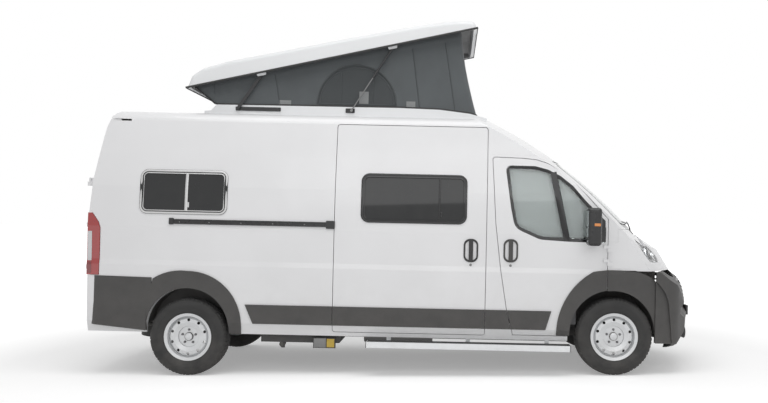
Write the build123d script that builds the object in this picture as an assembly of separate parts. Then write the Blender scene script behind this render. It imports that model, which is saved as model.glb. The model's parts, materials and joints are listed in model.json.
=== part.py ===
"""High-roof camper van with a raised pop-top roof, in millimetres.

+X is forward, +Y is the left side, +Z is up, and the origin is on the ground under the middle of the van.
Everything is drawn with the sills level, and then pitched nose-down by RAKE about the front wheels.
Outlines are lists of (x, z) for the sides, (y, z) for the ends and (x, y) for the plan.
"""
import os
from functools import lru_cache
from math import acos, asin, atan2, cos, degrees, hypot, radians, sin, sqrt

from build123d import *

# ---------------------------------------------------------------- driving dimensions
# running gear
WHEELBASE = 4035
FRONT_AXLE_X = 2051
TYRE_R = 366
TYRE_W = 225
TRACK_Y = 905
RAKE = 1.25
STEER_Y = 880
REAR_X = FRONT_AXLE_X - WHEELBASE * cos(radians(RAKE))
REAR_Z = TYRE_R - WHEELBASE * sin(radians(RAKE))

# body skin
REAR_END = -2940
SILL_Z = 315
ROOF_Z = 2462
HALF_SECTION = (  # height, half width of the skin
    (SILL_Z, 968), (420, 1003), (600, 1012), (955, 1014), (1003, 1006),
    (1315, 1009), (1700, 983), (2008, 938), (2331, 883),
)
SHOULDER = (760, 2425)
SHOULDER_MID = (849, 2392)
REAR_PROFILE = (  # lean of the tail above the belt
    (REAR_END, 1431), (-2913, 1775), (-2864, 2067), (-2832, 2245), (-2788, 2368), (-2741, 2415),
)
NOSE_PLAN = ((1900, 1032), (2420, 985), (2700, 760), (2830, 300))
NOSE_PLAN_R = (330, 330, 500)
SCREEN_ARC = ((1179, 2310), (1700, 1968), (2380, 1345))
SCREEN_CROSS_R = 3000
HOOD_LINE = (2380, 1345, 32.3, 3200)
NOSE_LINE = (2641, 1180, 57.4, 1700)
DOME_START = 660

# walls and gaps
WALL = 60
SKIN = 25
SEAT = 0.3
GAP = 6
LIP = 15
LIP_DEPTH = 45
PROUD = 12
TRIM = 6
GRIP = 24
GLASS = (4, 10)

FLOOR = (404, 436)
RAIL_TOP = FLOOR[0] - SEAT
ON_FLOOR = FLOOR[1] + SEAT

RAIL_Y = (380, 450)
RAIL_BOTTOM = 303

# panel seams
ROOF_SEAM = 2352
DOME_SEAM = 2072
DOME_SEAM_X = 832
SCREEN_BASE_Z = 1390
SCREEN_TOP_Z = 2035
DOOR_FRONT_X = 1970
FENDER_TOP = 1265
PILLAR_X = 2066
WAIST_Z = 992

# wheel arches
ARCH_FRONT = (2033, 400, 402)
ARCH_REAR = (-1990, 350, 392)
ARCH_INNER_FRONT = 585
ARCH_INNER_REAR = 765

# windows and doors
SLIDER = (-616, 820, 358, 2331)
SLIDER_WINDOW = (-372, 634, 1398, 1867, 78)
QUARTER_WINDOW = (-2467, -1638, 1439, 1860, 72)
GALLEY_WINDOW = (-250, 520, 1439, 1860, 72)
REAR_DOOR_Y = 878
REAR_DOOR_Z = (565, 2338)
REAR_WINDOW = (170, 770, 1450, 1960, 80)

# pop-top roof
COLLAR_Y = 650
COLLAR_T = 40
COLLAR_TOP = ((-1972, 2466), (-1910, 2471), (-1854, 2530), (-44, 2534), (352, 2525), (649, 2492), (818, 2450))
HATCH = (-1800, 560, 560)
LID_TIP = (-2130, 2676)
LID_ANGLE = 12.8
LID_LENGTH = 2906
LID_Y = 735
LID_SIDE_T = 32
LID_CLOSED_Z = 2475
LID_PROFILE = ((0, 0), (70, 110), (200, 162), (480, 180), (1600, 165), (2400, 147), (2700, 120), (2890, 82),
               (LID_LENGTH, 0))
ARM_BASE = (-1640, 2492)
ARM_LID = (740, -5)
STRUT_BASE = (-519, 2496)
STRUT_LID = (2055, -6)
STRUT_Y = 676


# ---------------------------------------------------------------- drawing helpers
def outline(*points):
    return make_face(Polyline(*points, close=True))


def plate(x0, x1, z0, z1, radius=0):
    face = Pos((x0 + x1) / 2, (z0 + z1) / 2) * Rectangle(x1 - x0, z1 - z0)
    return fillet(face.vertices(), radius) if radius else face


def rounded(points, radii):
    """An outline with chosen corners rounded: radii maps a corner's number to its radius."""
    face = outline(*points)
    for number, radius in radii.items():
        corner = min(face.vertices(), key=lambda v: hypot(v.X - points[number][0], v.Y - points[number][1]))
        face = fillet(corner, radius)
    return face


def across(face, y0, y1):
    """A side outline (x, z) swept from y0 to y1."""
    plane = Plane(origin=(0, y0, 0), x_dir=(1, 0, 0), z_dir=(0, -1, 0))
    return extrude(plane * face, amount=y1 - y0, dir=(0, 1, 0))


def along(face, x0, x1):
    """An end outline (y, z) swept from x0 to x1."""
    plane = Plane(origin=(x0, 0, 0), x_dir=(0, 1, 0), z_dir=(1, 0, 0))
    return extrude(plane * face, amount=x1 - x0, dir=(1, 0, 0))


def upward(face, z0, z1):
    """A plan outline (x, y) raised from z0 to z1."""
    return extrude(Pos(0, 0, z0) * face, amount=z1 - z0, dir=(0, 0, 1))


def block(x0, x1, y0, y1, z0, z1):
    return Pos((x0 + x1) / 2, (y0 + y1) / 2, (z0 + z1) / 2) * Box(x1 - x0, y1 - y0, z1 - z0)


def rod(start, end, radius):
    """A round bar between two points."""
    way = Vector(*end) - Vector(*start)
    plane = Plane(origin=start, z_dir=way)
    return extrude(plane * Circle(radius), amount=way.length, dir=way.normalized())


def pin_y(x, z, y0, y1, radius):
    return rod((x, y0, z), (x, y1, z), radius)


def mirrored(shape):
    return mirror(shape, about=Plane.XZ)


def both_sides(shape):
    return [shape, mirrored(shape)]


# ---------------------------------------------------------------- the skin
def cross_section(inset):
    """The body's cross-section; the inner ones are open at the sill."""
    side = [(width - inset, z) for z, width in HALF_SECTION]
    if inset > 0:
        side[0] = (side[0][0], 0)
    shoulder = (SHOULDER[0], SHOULDER[1] - inset)
    middle = (SHOULDER_MID[0] - inset * 0.85, SHOULDER_MID[1] - inset * 0.5)
    other = [(-y, z) for y, z in side]
    edges = Polyline(*side)
    edges += ThreePointArc(side[-1], middle, shoulder)
    edges += ThreePointArc(shoulder, (0, ROOF_Z - inset), (-shoulder[0], shoulder[1]))
    edges += ThreePointArc((-shoulder[0], shoulder[1]), (-middle[0], middle[1]), other[-1])
    edges += Polyline(*other)
    edges += Line(other[0], side[0])
    return make_face(edges)


def tail_cut(inset):
    """Everything ahead of the leaning tail."""
    tail = [(x + inset, z) for x, z in REAR_PROFILE]
    top = [(tail[-1][0] + 160, tail[-1][1] + 80 - inset), (tail[-1][0] + 260, 2700)]
    return across(outline((REAR_END + inset, -200), *tail, *top, (3100, 2700), (3100, -200)), -1100, 1100)


def plan_cut(inset):
    """The plan view, with the nose rounded off."""
    front = [(x - inset, y - inset * 0.9) for x, y in NOSE_PLAN]
    back = REAR_END + inset
    points = [(back, -1040), (back, 1040), *front, *[(x, -y) for x, y in reversed(front)]]
    radii = {}
    for number, radius in enumerate(NOSE_PLAN_R, start=3):
        radii[number] = radius
        radii[len(points) + 1 - number] = radius
    face = outline(*points)
    for number, radius in radii.items():
        corner = min(face.vertices(), key=lambda v: hypot(v.X - points[number][0], v.Y - points[number][1]))
        face = fillet(corner, radius)
    return upward(face, -300, 2800)


def sloping_cut(line, inset):
    """Everything under a sloping surface that is crowned across the van."""
    x, z, angle, crown_r = line
    down = (cos(radians(angle)), -sin(radians(angle)))
    half, reach, radius = 1200, 7000, crown_r - inset
    drop = radius - sqrt(radius ** 2 - half ** 2) + inset
    edges = Polyline((-half, -drop), (-half, -reach), (half, -reach), (half, -drop))
    edges += ThreePointArc((half, -drop), (0, -inset), (-half, -drop))
    start = (x - down[0] * 5000, 0, z - down[1] * 5000)
    plane = Plane(origin=start, x_dir=(0, 1, 0), z_dir=(down[0], 0, down[1]))
    return extrude(plane * make_face(edges), amount=10000, dir=(down[0], 0, down[1]))


def circle_through(a, b, c):
    """Centre and radius of the circle through three points."""
    double = 2 * (a[0] * (b[1] - c[1]) + b[0] * (c[1] - a[1]) + c[0] * (a[1] - b[1]))
    squares = [p[0] ** 2 + p[1] ** 2 for p in (a, b, c)]
    x = (squares[0] * (b[1] - c[1]) + squares[1] * (c[1] - a[1]) + squares[2] * (a[1] - b[1])) / double
    z = (squares[0] * (c[0] - b[0]) + squares[1] * (a[0] - c[0]) + squares[2] * (b[0] - a[0])) / double
    return x, z, hypot(a[0] - x, a[1] - z)


def screen_barrel(inset):
    """The barrel whose skin is the windscreen and the roof's front dome."""
    cx, cz, arc_r = circle_through(*SCREEN_ARC)
    lean = atan2(SCREEN_ARC[1][1] - cz, SCREEN_ARC[1][0] - cx)
    out, down = (cos(lean), sin(lean)), (sin(lean), -cos(lean))
    half, radius = 1900, arc_r - inset
    drop = radius - sqrt(radius ** 2 - half ** 2) + inset
    edges = ThreePointArc((-half, -drop), (0, -inset), (half, -drop))
    edges += Polyline((half, -drop), (half, -SCREEN_CROSS_R), (-half, -SCREEN_CROSS_R), (-half, -drop))
    crest = (cx + arc_r * out[0], cz + arc_r * out[1])
    plane = Plane(origin=(crest[0], 0, crest[1]), x_dir=(down[0], 0, down[1]), z_dir=(0, -1, 0))
    hub = (crest[0] - SCREEN_CROSS_R * out[0], 0, crest[1] - SCREEN_CROSS_R * out[1])
    return revolve(plane * make_face(edges), Axis(hub, (down[0], 0, down[1])), 360)


@lru_cache(maxsize=None)
def van_form(inset):
    """The whole body as one block, inset from the outer skin."""
    form = along(cross_section(inset), -3100, 3100) & tail_cut(inset) & plan_cut(inset)
    form = form & sloping_cut(NOSE_LINE, inset)
    foot = SCREEN_ARC[2][0]
    form -= block(DOME_START, foot, -1200, 1200, 0, 3000) - screen_barrel(inset)
    return form - (block(foot, 3200, -1200, 1200, 0, 3000) - sloping_cut(HOOD_LINE, inset))


@lru_cache(maxsize=None)
def layer(outer, inner):
    """The wall between two depths under the skin."""
    return van_form(outer) - van_form(inner)


# ---------------------------------------------------------------- outlines that several pieces share
def arch(spec, inner, grow=0):
    """The open wheel well on the right-hand side."""
    x, z, radius = spec
    well = pin_y(x, z, -1300, -inner, radius + grow)
    return well + block(x - radius - grow, x + radius + grow, -1300, -inner, -300, z)


def wells(grow=0):
    front = arch(ARCH_FRONT, ARCH_INNER_FRONT - grow, grow)
    rear = arch(ARCH_REAR, ARCH_INNER_REAR - grow, grow)
    return front + rear + mirrored(front) + mirrored(rear)


def front_door_outline(grow=0):
    points = ((873, 2047), (912, 1410), (969, 960), (1030, 596), (1092, 366), (DOOR_FRONT_X, 366),
              (DOOR_FRONT_X, 1478), (1640, 1836), (1519, 1926), (1398, 1996), (1286, 2028), (1160, 2040))
    return offset(rounded(points, {0: 24, 7: 250, 9: 300}), grow, kind=Kind.INTERSECTION)


def front_window_outline(grow=0):
    points = ((992, 1972), (1050, 1568), (1090, 1376), (1330, 1272), (1600, 1258), (1948, 1252),
              (1948, 1462), (1757, 1650), (1637, 1788), (1516, 1882), (1396, 1940), (1277, 1970))
    return offset(rounded(points, {0: 60, 2: 160, 3: 200, 5: 12}), grow)


def flare_outline():
    """Outer edge of the front arch's plastic flare."""
    edges = Line((1498, 290), (1502, 345))
    edges += ThreePointArc((1502, 345), (1590, 728), (1841, 979))
    edges += ThreePointArc((1841, 979), (2015, 998), (2196, 990))
    edges += ThreePointArc((2196, 990), (2430, 904), (2560, 690))
    edges += Line((2560, 690), (2600, 290))
    edges += Line((2600, 290), (1498, 290))
    return make_face(edges)


def door_side(grow=0):
    """The side-facing part of the cab's wall, which stops short of the windscreen pillar."""
    inner = ((-900 + grow, 0), (-900 + grow, 1250), (-961 + grow, 1300), (-959 + grow, 1390),
             (-937 + grow, 1700), (-892 + grow, 2008), (-882 + grow, 2072))
    return along(outline((-1300, 0), *inner, (-1300, 2072)), 800, 2600)


def side_band(face, side=-1):
    """A side outline as a cutter for one side of the body."""
    return across(face, -1300, -400) if side < 0 else across(face, 400, 1300)


def seated_opening(face_out, face_in, side=-1):
    """What a closing panel takes out of the wall: its own depth, and a smaller way through."""
    return (side_band(face_out, side) - van_form(LIP_DEPTH)) + side_band(face_in, side)


# ---------------------------------------------------------------- body panels
def camper_window(spec, side=-1):
    """A framed camper window: a moulded ring that laps the skin, and its pane."""
    x0, x1, z0, z1, radius = spec
    lap, border = 14, 34
    outer = side_band(plate(x0, x1, z0, z1, radius), side)
    throat = side_band(plate(x0 + lap, x1 - lap, z0 + lap, z1 - lap, radius - lap), side)
    sight = side_band(plate(x0 + border, x1 - border, z0 + border, z1 - border, radius - border), side)
    ring = ((layer(-TRIM, -SEAT) & outer) + (layer(-SEAT, SKIN) & throat)) - sight
    pane_cut = side_band(plate(x0 + border + SEAT, x1 - border - SEAT, z0 + border + SEAT, z1 - border - SEAT,
                               radius - border), side)
    return [ring, layer(*GLASS) & pane_cut]


def window_hole(spec, side=-1):
    x0, x1, z0, z1, radius = spec
    lap = 14 - SEAT
    return side_band(plate(x0 + lap, x1 - lap, z0 + lap, z1 - lap, radius - lap), side)


def tail_lamp_outline(grow=0):
    return offset(outline((-3050, 852), (-2832, 852), (-2828, 1294), (-2844, 1347), (-2908, 1437), (-3050, 1437)),
                  grow, kind=Kind.INTERSECTION)


def tail_lamp_zone(side, grow=0):
    zone = across(tail_lamp_outline(grow), -1100, -(932 - grow))
    return zone if side < 0 else mirrored(zone)


def front_lamp_zone(side, grow=0):
    face = offset(rounded(((662, 1072), (716, 1190), (868, 1292), (925, 1232), (905, 1076)),
                          {0: 30, 1: 60, 3: 40, 4: 40}), grow)
    zone = along(face, 2180, 2900)
    return mirrored(zone) if side < 0 else zone


def hood_zone(grow=0):
    back, tip = (2290 - grow, 704 + grow), 2394 - grow
    side = [(2450, 704 + grow), (2900, 600 + grow)]
    edges = ThreePointArc((back[0], -back[1]), (tip, 0), back)
    edges += Polyline(back, *side, *[(x, -y) for x, y in reversed(side)], (back[0], -back[1]))
    return upward(make_face(edges), WAIST_Z - grow, 1700)


def screen_zone(grow=0):
    face = rounded(((-905, SCREEN_BASE_Z), (905, SCREEN_BASE_Z), (742, SCREEN_TOP_Z), (-742, SCREEN_TOP_Z)),
                   {0: 70, 1: 70, 2: 110, 3: 110})
    return along(offset(face, grow), 900, 2600)


def screen_opening():
    """The windscreen's rebate: a gap round its edge and a flange behind it."""
    return (screen_zone(GAP) - van_form(GLASS[1] + SEAT)) + screen_zone(-LIP)


def side_wall(side):
    """One side of the body, from the tail to the windscreen pillar."""
    wall_outline = outline((-3000, SILL_Z - 20), (DOOR_FRONT_X + GAP, SILL_Z - 20),
                           (DOOR_FRONT_X + GAP, FENDER_TOP), (PILLAR_X, FENDER_TOP), (PILLAR_X, 1385),
                           (2420, 1385), (2420, DOME_SEAM), (DOME_SEAM_X, DOME_SEAM),
                           (DOME_SEAM_X, ROOF_SEAM), (-3000, ROOF_SEAM))
    wall = layer(0, WALL) & across(wall_outline, -1100, -SEAT)
    post = layer(SKIN + SEAT, WALL) & across(plate(DOOR_FRONT_X, PILLAR_X, 820, FENDER_TOP), -1100, 0)
    wall = wall + post
    wall -= seated_opening(front_door_outline(GAP), front_door_outline(-LIP)) & door_side(GAP)
    wall -= block(900, 2600, -742 - SEAT, 0, SCREEN_TOP_Z - 20, DOME_SEAM + 20) + cowl_zone(1)
    wall -= block(-3000, -2600, -REAR_DOOR_Y - GAP, 0, REAR_DOOR_Z[0] - GAP, REAR_DOOR_Z[1] + GAP)
    wall -= screen_opening() & block(900, 2600, -1000, 0, 1200, 2100)
    if side < 0:
        x0, x1, z0, z1 = SLIDER
        hole = plate(x0 - GAP, x1 + GAP, z0 - GAP, z1 + GAP, 30)
        wall -= seated_opening(hole, plate(x0 + LIP, x1 - LIP, z0 + LIP, z1 - LIP, 20))
        wall -= window_hole(QUARTER_WINDOW)
    else:
        wall -= window_hole(QUARTER_WINDOW) + window_hole(GALLEY_WINDOW)
    wall -= tail_lamp_zone(-1, GAP / 2) - van_form(SKIN + SEAT)
    wall -= arch(ARCH_FRONT, ARCH_INNER_FRONT, 20) + arch(ARCH_REAR, ARCH_INNER_REAR)
    return wall if side < 0 else mirrored(wall)


def roof_panel():
    """Roof skin with its front dome and the hatch under the pop-top."""
    edge, low, high = DOME_SEAM_X + SEAT, DOME_SEAM + SEAT, ROOF_SEAM + SEAT
    region = outline((-3000, high), (edge, high), (edge, low), (2500, low), (2500, 2700), (-3000, 2700))
    header = outline((900, SCREEN_TOP_Z - 20), (2500, SCREEN_TOP_Z - 20), (2500, low), (900, low))
    roof = layer(0, WALL) & (across(region, -1100, 1100) + across(header, -742, 742))
    roof -= screen_opening()
    x0, x1, half = HATCH
    return roof - upward(plate(x0, x1, -half, half, 80), 2200, 2700)


def sliding_door():
    x0, x1, z0, z1 = SLIDER
    door = layer(0, LIP_DEPTH - SEAT) & side_band(plate(x0, x1, z0, z1, 24))
    return door - window_hole(SLIDER_WINDOW)


def front_door(side):
    door = layer(0, LIP_DEPTH - SEAT) & side_band(front_door_outline()) & door_side()
    door -= side_band(front_window_outline())
    door -= arch(ARCH_FRONT, ARCH_INNER_FRONT, 6)
    return door if side < 0 else mirrored(door)


def front_door_glass(side):
    glass = layer(*GLASS) & side_band(front_window_outline(-SEAT)) & door_side()
    return glass if side < 0 else mirrored(glass)


def rear_door(side):
    """One of the two tail doors; its meeting edge slants so that it can swing past the other."""
    swing = outline((-3000, -2), (-2945, -4), (-2700, -16), (-2700, -REAR_DOOR_Y), (-3000, -REAR_DOOR_Y))
    door = layer(0, LIP_DEPTH - SEAT) & upward(swing, *REAR_DOOR_Z)
    y0, y1, z0, z1, radius = REAR_WINDOW
    door -= along(plate(-y1, -y0, z0, z1, radius), -3000, -2700)
    return door if side < 0 else mirrored(door)


def rear_door_glass(side):
    y0, y1, z0, z1, radius = REAR_WINDOW
    pane = plate(-y1 + SEAT, -y0 - SEAT, z0 + SEAT, z1 - SEAT, radius)
    glass = layer(*GLASS) & along(pane, -3000, -2700)
    return glass if side < 0 else mirrored(glass)


def fender(side):
    region = outline((DOOR_FRONT_X + GAP, 997), (2240, 997), (2260, WAIST_Z), (2900, WAIST_Z), (2900, 1384),
                     (PILLAR_X + 1, 1384), (PILLAR_X + 1, FENDER_TOP - 1), (DOOR_FRONT_X + GAP, FENDER_TOP - 1))
    panel = layer(0, SKIN) & across(region, -1100, -560)
    panel -= hood_zone(GAP)
    panel -= front_lamp_zone(-1, GAP / 2)
    panel -= cowl_zone(1)
    panel = max(panel.solids(), key=lambda solid: solid.volume)
    return panel if side < 0 else mirrored(panel)


def cowl_zone(grow=0):
    """The plastic scuttle between the hood and the windscreen."""
    back, front = (2010 - grow, 840 + grow), (2262 + grow, 724 + grow)
    edges = ThreePointArc((back[0], -back[1]), (2250 - grow, 0), back)
    edges += Line(back, front)
    edges += ThreePointArc(front, (2380 + grow, 0), (front[0], -front[1]))
    edges += Line((front[0], -front[1]), (back[0], -back[1]))
    return upward(make_face(edges), 1100, SCREEN_BASE_Z - 6)


HOOD_HINGE = (2395, 1322)
HOOD_HINGE_Y = (105, 133, 158)
HINGE_R = 6.5


def hood():
    panel = (layer(0, SKIN) & hood_zone()) - front_lamp_zone(-1, GAP) - front_lamp_zone(1, GAP)
    x, z = HOOD_HINGE
    near, _, end = HOOD_HINGE_Y
    slot = block(x - 200, x + HINGE_R + SEAT, near - SEAT, end + SEAT, z - 200, z + 200)
    return panel - slot - mirrored(slot)


def windscreen():
    return layer(*GLASS) & screen_zone()


def front_structure():
    """Scuttle, firewall and the two front wheel houses."""
    scuttle = layer(GLASS[0], LIP_DEPTH) & cowl_zone()
    hx, hz = HOOD_HINGE
    near, far, end = HOOD_HINGE_Y
    hinge = pin_y(hx, hz, near, far, HINGE_R) + block(hx - 34, hx, near, far, hz - 6, hz + 4)
    hinge += pin_y(hx, hz, near, end, 5 - SEAT)
    scuttle += hinge + mirrored(hinge)
    firewall = across(outline((2120, ON_FLOOR), (2150, ON_FLOOR), (2150, 1000), (2010, 1240), (1980, 1240), (2120, 1000)),
                      -880, 880)
    firewall = firewall & van_form(WALL + SEAT)
    firewall -= wells(6)
    x, z, radius = ARCH_FRONT
    shell = pin_y(x, z, -948, -ARCH_INNER_FRONT + 12, radius + 12)
    shell = shell & block(x - 500, x + 500, -1100, 0, z, 1200)
    house = shell - wells()
    arm_slot = block(FRONT_AXLE_X - 70, FRONT_AXLE_X + 70, -ARCH_INNER_FRONT - 5, -560, TYRE_R + 96, TYRE_R + 130)
    house -= arm_slot
    return [scuttle, firewall + house + mirrored(house)]


def headlamps():
    lens = layer(GLASS[0], WALL) & front_lamp_zone(-1)
    housing = (layer(SKIN + SEAT, WALL) & front_lamp_zone(-1, 12)) - hood_zone(GAP)
    return both_sides(lens + housing)


def tail_lamps():
    lamp = layer(-TRIM, SKIN) & tail_lamp_zone(-1)
    return both_sides(lamp)


BUMPER_SWEEP = 0.3
BUMPER_CHIN = ((1100, 330), (700, 262), (400, 180))


def bumper_form(inset):
    """The front bumper as a block: a side profile that is swept back to both sides, within its plan."""
    profile = ((2250, 211), (2662, 211), (2704, 186), (2790, 204), (2884, 248), (2935, 328), (2987, 414),
               (2993, 539), (2952, 591), (2955, 644), (2982, 680), (2957, 793), (2925, 867), (2837, 928),
               (2766, WAIST_Z - 4), (2250, WAIST_Z - 4))
    inner = [(x - inset, z) for x, z in profile]
    swept = [(x + BUMPER_SWEEP * 1160, z) for x, z in ((1250, 211), *inner[1:-1], (1250, WAIST_Z - 4))]
    start = Plane(origin=(0, -1100, 0), x_dir=(1, 0, 0), z_dir=(0, -1, 0))
    way = Vector(-BUMPER_SWEEP, 1, 0)
    left = extrude(start * outline(*swept), amount=2200 * way.length, dir=way.normalized())
    plan = [(2250, 1022), (2620, 1012), (2790, 790), (3020, 20)]
    plan = [(x - inset, y - inset * 0.9) for x, y in plan[:3]] + [(plan[3][0] - inset, plan[3][1])]
    points = [*plan, *[(x, -y) for x, y in reversed(plan)]]
    face = outline(*points)
    for x, y in (points[1], points[2], points[5], points[6]):
        corner = min(face.vertices(), key=lambda v: hypot(v.X - x, v.Y - y))
        face = fillet(corner, 200)
    chin = outline(*BUMPER_CHIN, *[(-y, z) for y, z in reversed(BUMPER_CHIN)], (-1100, 1100), (1100, 1100))
    form = across(outline(*inner), -1100, 1100) & upward(face, 100, 1100)
    return form & left & mirrored(left) & along(chin, 1000, 3200)


GRILLE = (560, 612, 895)
INTAKE = (430, 300, 500)
BUMPER_T = 36
BEAM_Z = (515, 598)


def grille_zone(spec, grow=0):
    half, z0, z1 = spec
    return along(plate(-half - grow, half + grow, z0 - grow, z1 + grow, 40), 2500, 3100)


def front_bumper():
    skin = bumper_form(0) - bumper_form(BUMPER_T)
    skin -= across(flare_outline(), -1100, -985) + across(flare_outline(), 985, 1100)
    skin -= wells(6)
    skin -= van_form(-SEAT)
    skin -= grille_zone(GRILLE) + grille_zone(INTAKE)
    rear_edge = block(2200, 2440, -1100, 1100, 100, 1000)
    return skin - rear_edge


def grille():
    """Two framed panels of horizontal slats, set back in the bumper's openings."""
    pieces = []
    for half, z0, z1 in (GRILLE, INTAKE):
        slab = (bumper_form(14) - bumper_form(32)) & grille_zone((half, z0, z1), -SEAT)
        window = along(plate(-half + 24, half - 24, z0 + 22, z1 - 22, 20), 2500, 3100)
        frame = slab - window
        slats = 5 if z1 - z0 > 250 else 3
        pitch = (z1 - z0 - 44) / (slats + 1)
        for number in range(1, slats + 1):
            z = z0 + 22 + pitch * number
            frame += slab & block(2500, 3100, -half + 20, half - 20, z - 9, z + 9)
        for y in (-half / 3, half / 3):
            frame += slab & block(2500, 3100, y - 7, y + 7, z0 + 18, z1 - 18)
        pieces.append(frame)
    return pieces


def rear_bumper():
    """Wrap-round rear bumper: high corners under the lamps and a low step under the doors."""
    corner = [(-2330, 1022), (-2880, 1020), (-2968, 890), (REAR_END - 58.4, 480)]
    points = [*corner, *[(x, -y) for x, y in reversed(corner)]]
    face = outline(*points)
    for x, y in (corner[1], corner[2], (corner[1][0], -corner[1][1]), (corner[2][0], -corner[2][1])):
        nearest = min(face.vertices(), key=lambda v: hypot(v.X - x, v.Y - y))
        face = fillet(nearest, 70)
    side_profile = outline((-3050, 400), (-2373, 335), (-2300, 335), (-2300, 836), (-3050, 848))
    bumper = upward(face, 300, 900) & across(side_profile, -1100, 1100)
    bumper -= van_form(-SEAT)
    bumper -= block(-3100, -2600, -REAR_DOOR_Y - GAP, REAR_DOOR_Y + GAP, REAR_DOOR_Z[0] - GAP, 1000)
    bumper -= across(rear_flare_outline(SEAT), -1100, 1100)
    bumper -= block(-2890, 0, -960, 960, 0, 1000)
    return bumper


def rear_flare_outline(grow=0):
    edges = Line((-1480, 290), (-1486, 330))
    edges += ThreePointArc((-1486, 330), (-1630, 757), (-2000, 904))
    edges += ThreePointArc((-2000, 904), (-2200, 884), (-2318, 826))
    edges += Polyline((-2318, 826), (-2375, 560), (-2375, 290), (-1480, 290))
    return offset(make_face(edges), grow, kind=Kind.INTERSECTION)


def arch_flares():
    """Plastic flares round the wheel arches; the front ones stop at the doors."""
    front = layer(-PROUD, -SEAT) & across(flare_outline(), -1100, -940)
    front -= block(1400, DOOR_FRONT_X + GAP, -1100, 0, 0, 1100)
    front -= arch(ARCH_FRONT, ARCH_INNER_FRONT)
    rear = layer(-PROUD, -SEAT) & across(rear_flare_outline(), -1100, -940)
    rear -= arch(ARCH_REAR, ARCH_INNER_REAR)
    return [*both_sides(front), *both_sides(rear)]


CLADDING = ((-1446, 598), (-1370, 418), (1397, 418), (1449, 598))


def cladding_strip(x0, x1):
    """A stretch of the black strip along the sill."""
    strip = layer(-PROUD, -SEAT) & across(outline(*CLADDING), -1100, -900)
    return strip & block(x0, x1, -1100, 0, 0, 1000)


def sill_cladding():
    seams = (-1500, SLIDER[0] - GAP, SLIDER[1] + GAP, 1110)
    rear = cladding_strip(seams[0], seams[1])
    door = cladding_strip(SLIDER[0], SLIDER[1])
    pillar = cladding_strip(seams[2], seams[3]) - across(front_door_outline(GAP), -1100, 0)
    left = mirrored(cladding_strip(seams[0], seams[3]) - across(front_door_outline(GAP), -1100, 0))
    return [rear, door, pillar, left]


def door_trim(side):
    """What is fitted to a front door's skin: sill strip, end of the arch flare and grab handle."""
    strip = cladding_strip(900, 1500) & across(front_door_outline(), -1100, 0)
    flare = layer(-PROUD, -SEAT) & across(flare_outline(), -1100, -940)
    flare = flare & across(front_door_outline(), -1100, 0)
    flare -= arch(ARCH_FRONT, ARCH_INNER_FRONT, 6)
    handle = grab_handle((986, 1124, 1050, 1270))
    pieces = [strip, flare, handle]
    return pieces if side < 0 else [mirrored(piece) for piece in pieces]


def grab_handle(spec):
    """An oval cup with a vertical grip across it."""
    x0, x1, z0, z1 = spec
    cup = layer(-TRIM, -SEAT) & side_band(plate(x0, x1, z0, z1, 60))
    cup -= side_band(plate(x0 + 16, x1 - 16, z0 + 20, z1 - 20, 44))
    middle = (x0 + x1) / 2
    grip = layer(-GRIP, -SEAT) & side_band(plate(middle - 20, middle + 20, z0 + 8, z1 - 8, 18))
    return cup + grip


RAIL = (-2180, -612, 1346, 1392)


def sliding_door_fittings():
    """The rail that the sliding door's rear roller runs in, its end caps and the door's handle."""
    x0, x1, z0, z1 = RAIL
    rail = layer(-PROUD, -SEAT) & side_band(plate(x0 + 45, x1 - 85, z0, z1))
    rail -= layer(-PROUD, -TRIM) & side_band(plate(x0 + 40, x1 - 80, z0 + 14, z1 - 10))
    caps = [layer(-PROUD, -SEAT) & side_band(plate(x0, x0 + 44, z0 - 6, z1 + 10, 8)),
            layer(-PROUD, -SEAT) & side_band(plate(x1 - 84, x1, z0 - 16, z1 + 14, 8))]
    handle = grab_handle((609, 747, 1044, 1265))
    return [rail, *caps, handle]


def mirror_unit(side):
    """Tall double-lens door mirror on its foot."""
    housing = block(1748, 1874, -1254, -1078, 1228, 1580)
    housing = fillet(housing.edges(), 34)
    glass_cut = across(plate(1700, 1757, 1250, 1558), -1236, -1096)
    foot = across(outline((1800, 1262), (1948, 1262), (1948, 1400), (1860, 1400)), -1030, -985)
    stalk = block(1800, 1866, -1110, -990, 1270, 1330)
    unit = housing - glass_cut + ((stalk + foot) - van_form(-SEAT))
    lens = block(1750, 1757 - SEAT, -1235, -1097, 1251, 1557)
    pieces = [unit, lens]
    return pieces if side < 0 else [mirrored(piece) for piece in pieces]


def floor_pan():
    floor = block(-2878, 2110, -950, 950, *FLOOR) & van_form(WALL + SEAT)
    for s in (-1, 1):
        floor -= block(FRONT_AXLE_X - 66, 2200, s * 556 - 24, s * 556 + 24, 300, 500)
    floor -= wells(14)
    x, z, radius = ARCH_REAR
    shell = pin_y(x, z, -948, -ARCH_INNER_REAR + 12, radius + 12)
    shell = shell & block(x - 500, x + 500, -1100, 0, FLOOR[0], 1200) & van_form(WALL + SEAT)
    house = shell - wells()
    return floor + house + mirrored(house)


# ---------------------------------------------------------------- pop-top roof
def lid_point(u, w):
    """A point of the raised lid, u along it from its rear tip and w above its rim."""
    a = radians(LID_ANGLE)
    return LID_TIP[0] + u * cos(a) - w * sin(a), LID_TIP[1] + u * sin(a) + w * cos(a)


def on_lid(shape):
    """Moves a shape drawn level, with the rim's rear tip at the origin, onto the raised lid."""
    return Pos(LID_TIP[0], 0, LID_TIP[1]) * Rot(0, -LID_ANGLE, 0) * shape


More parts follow.
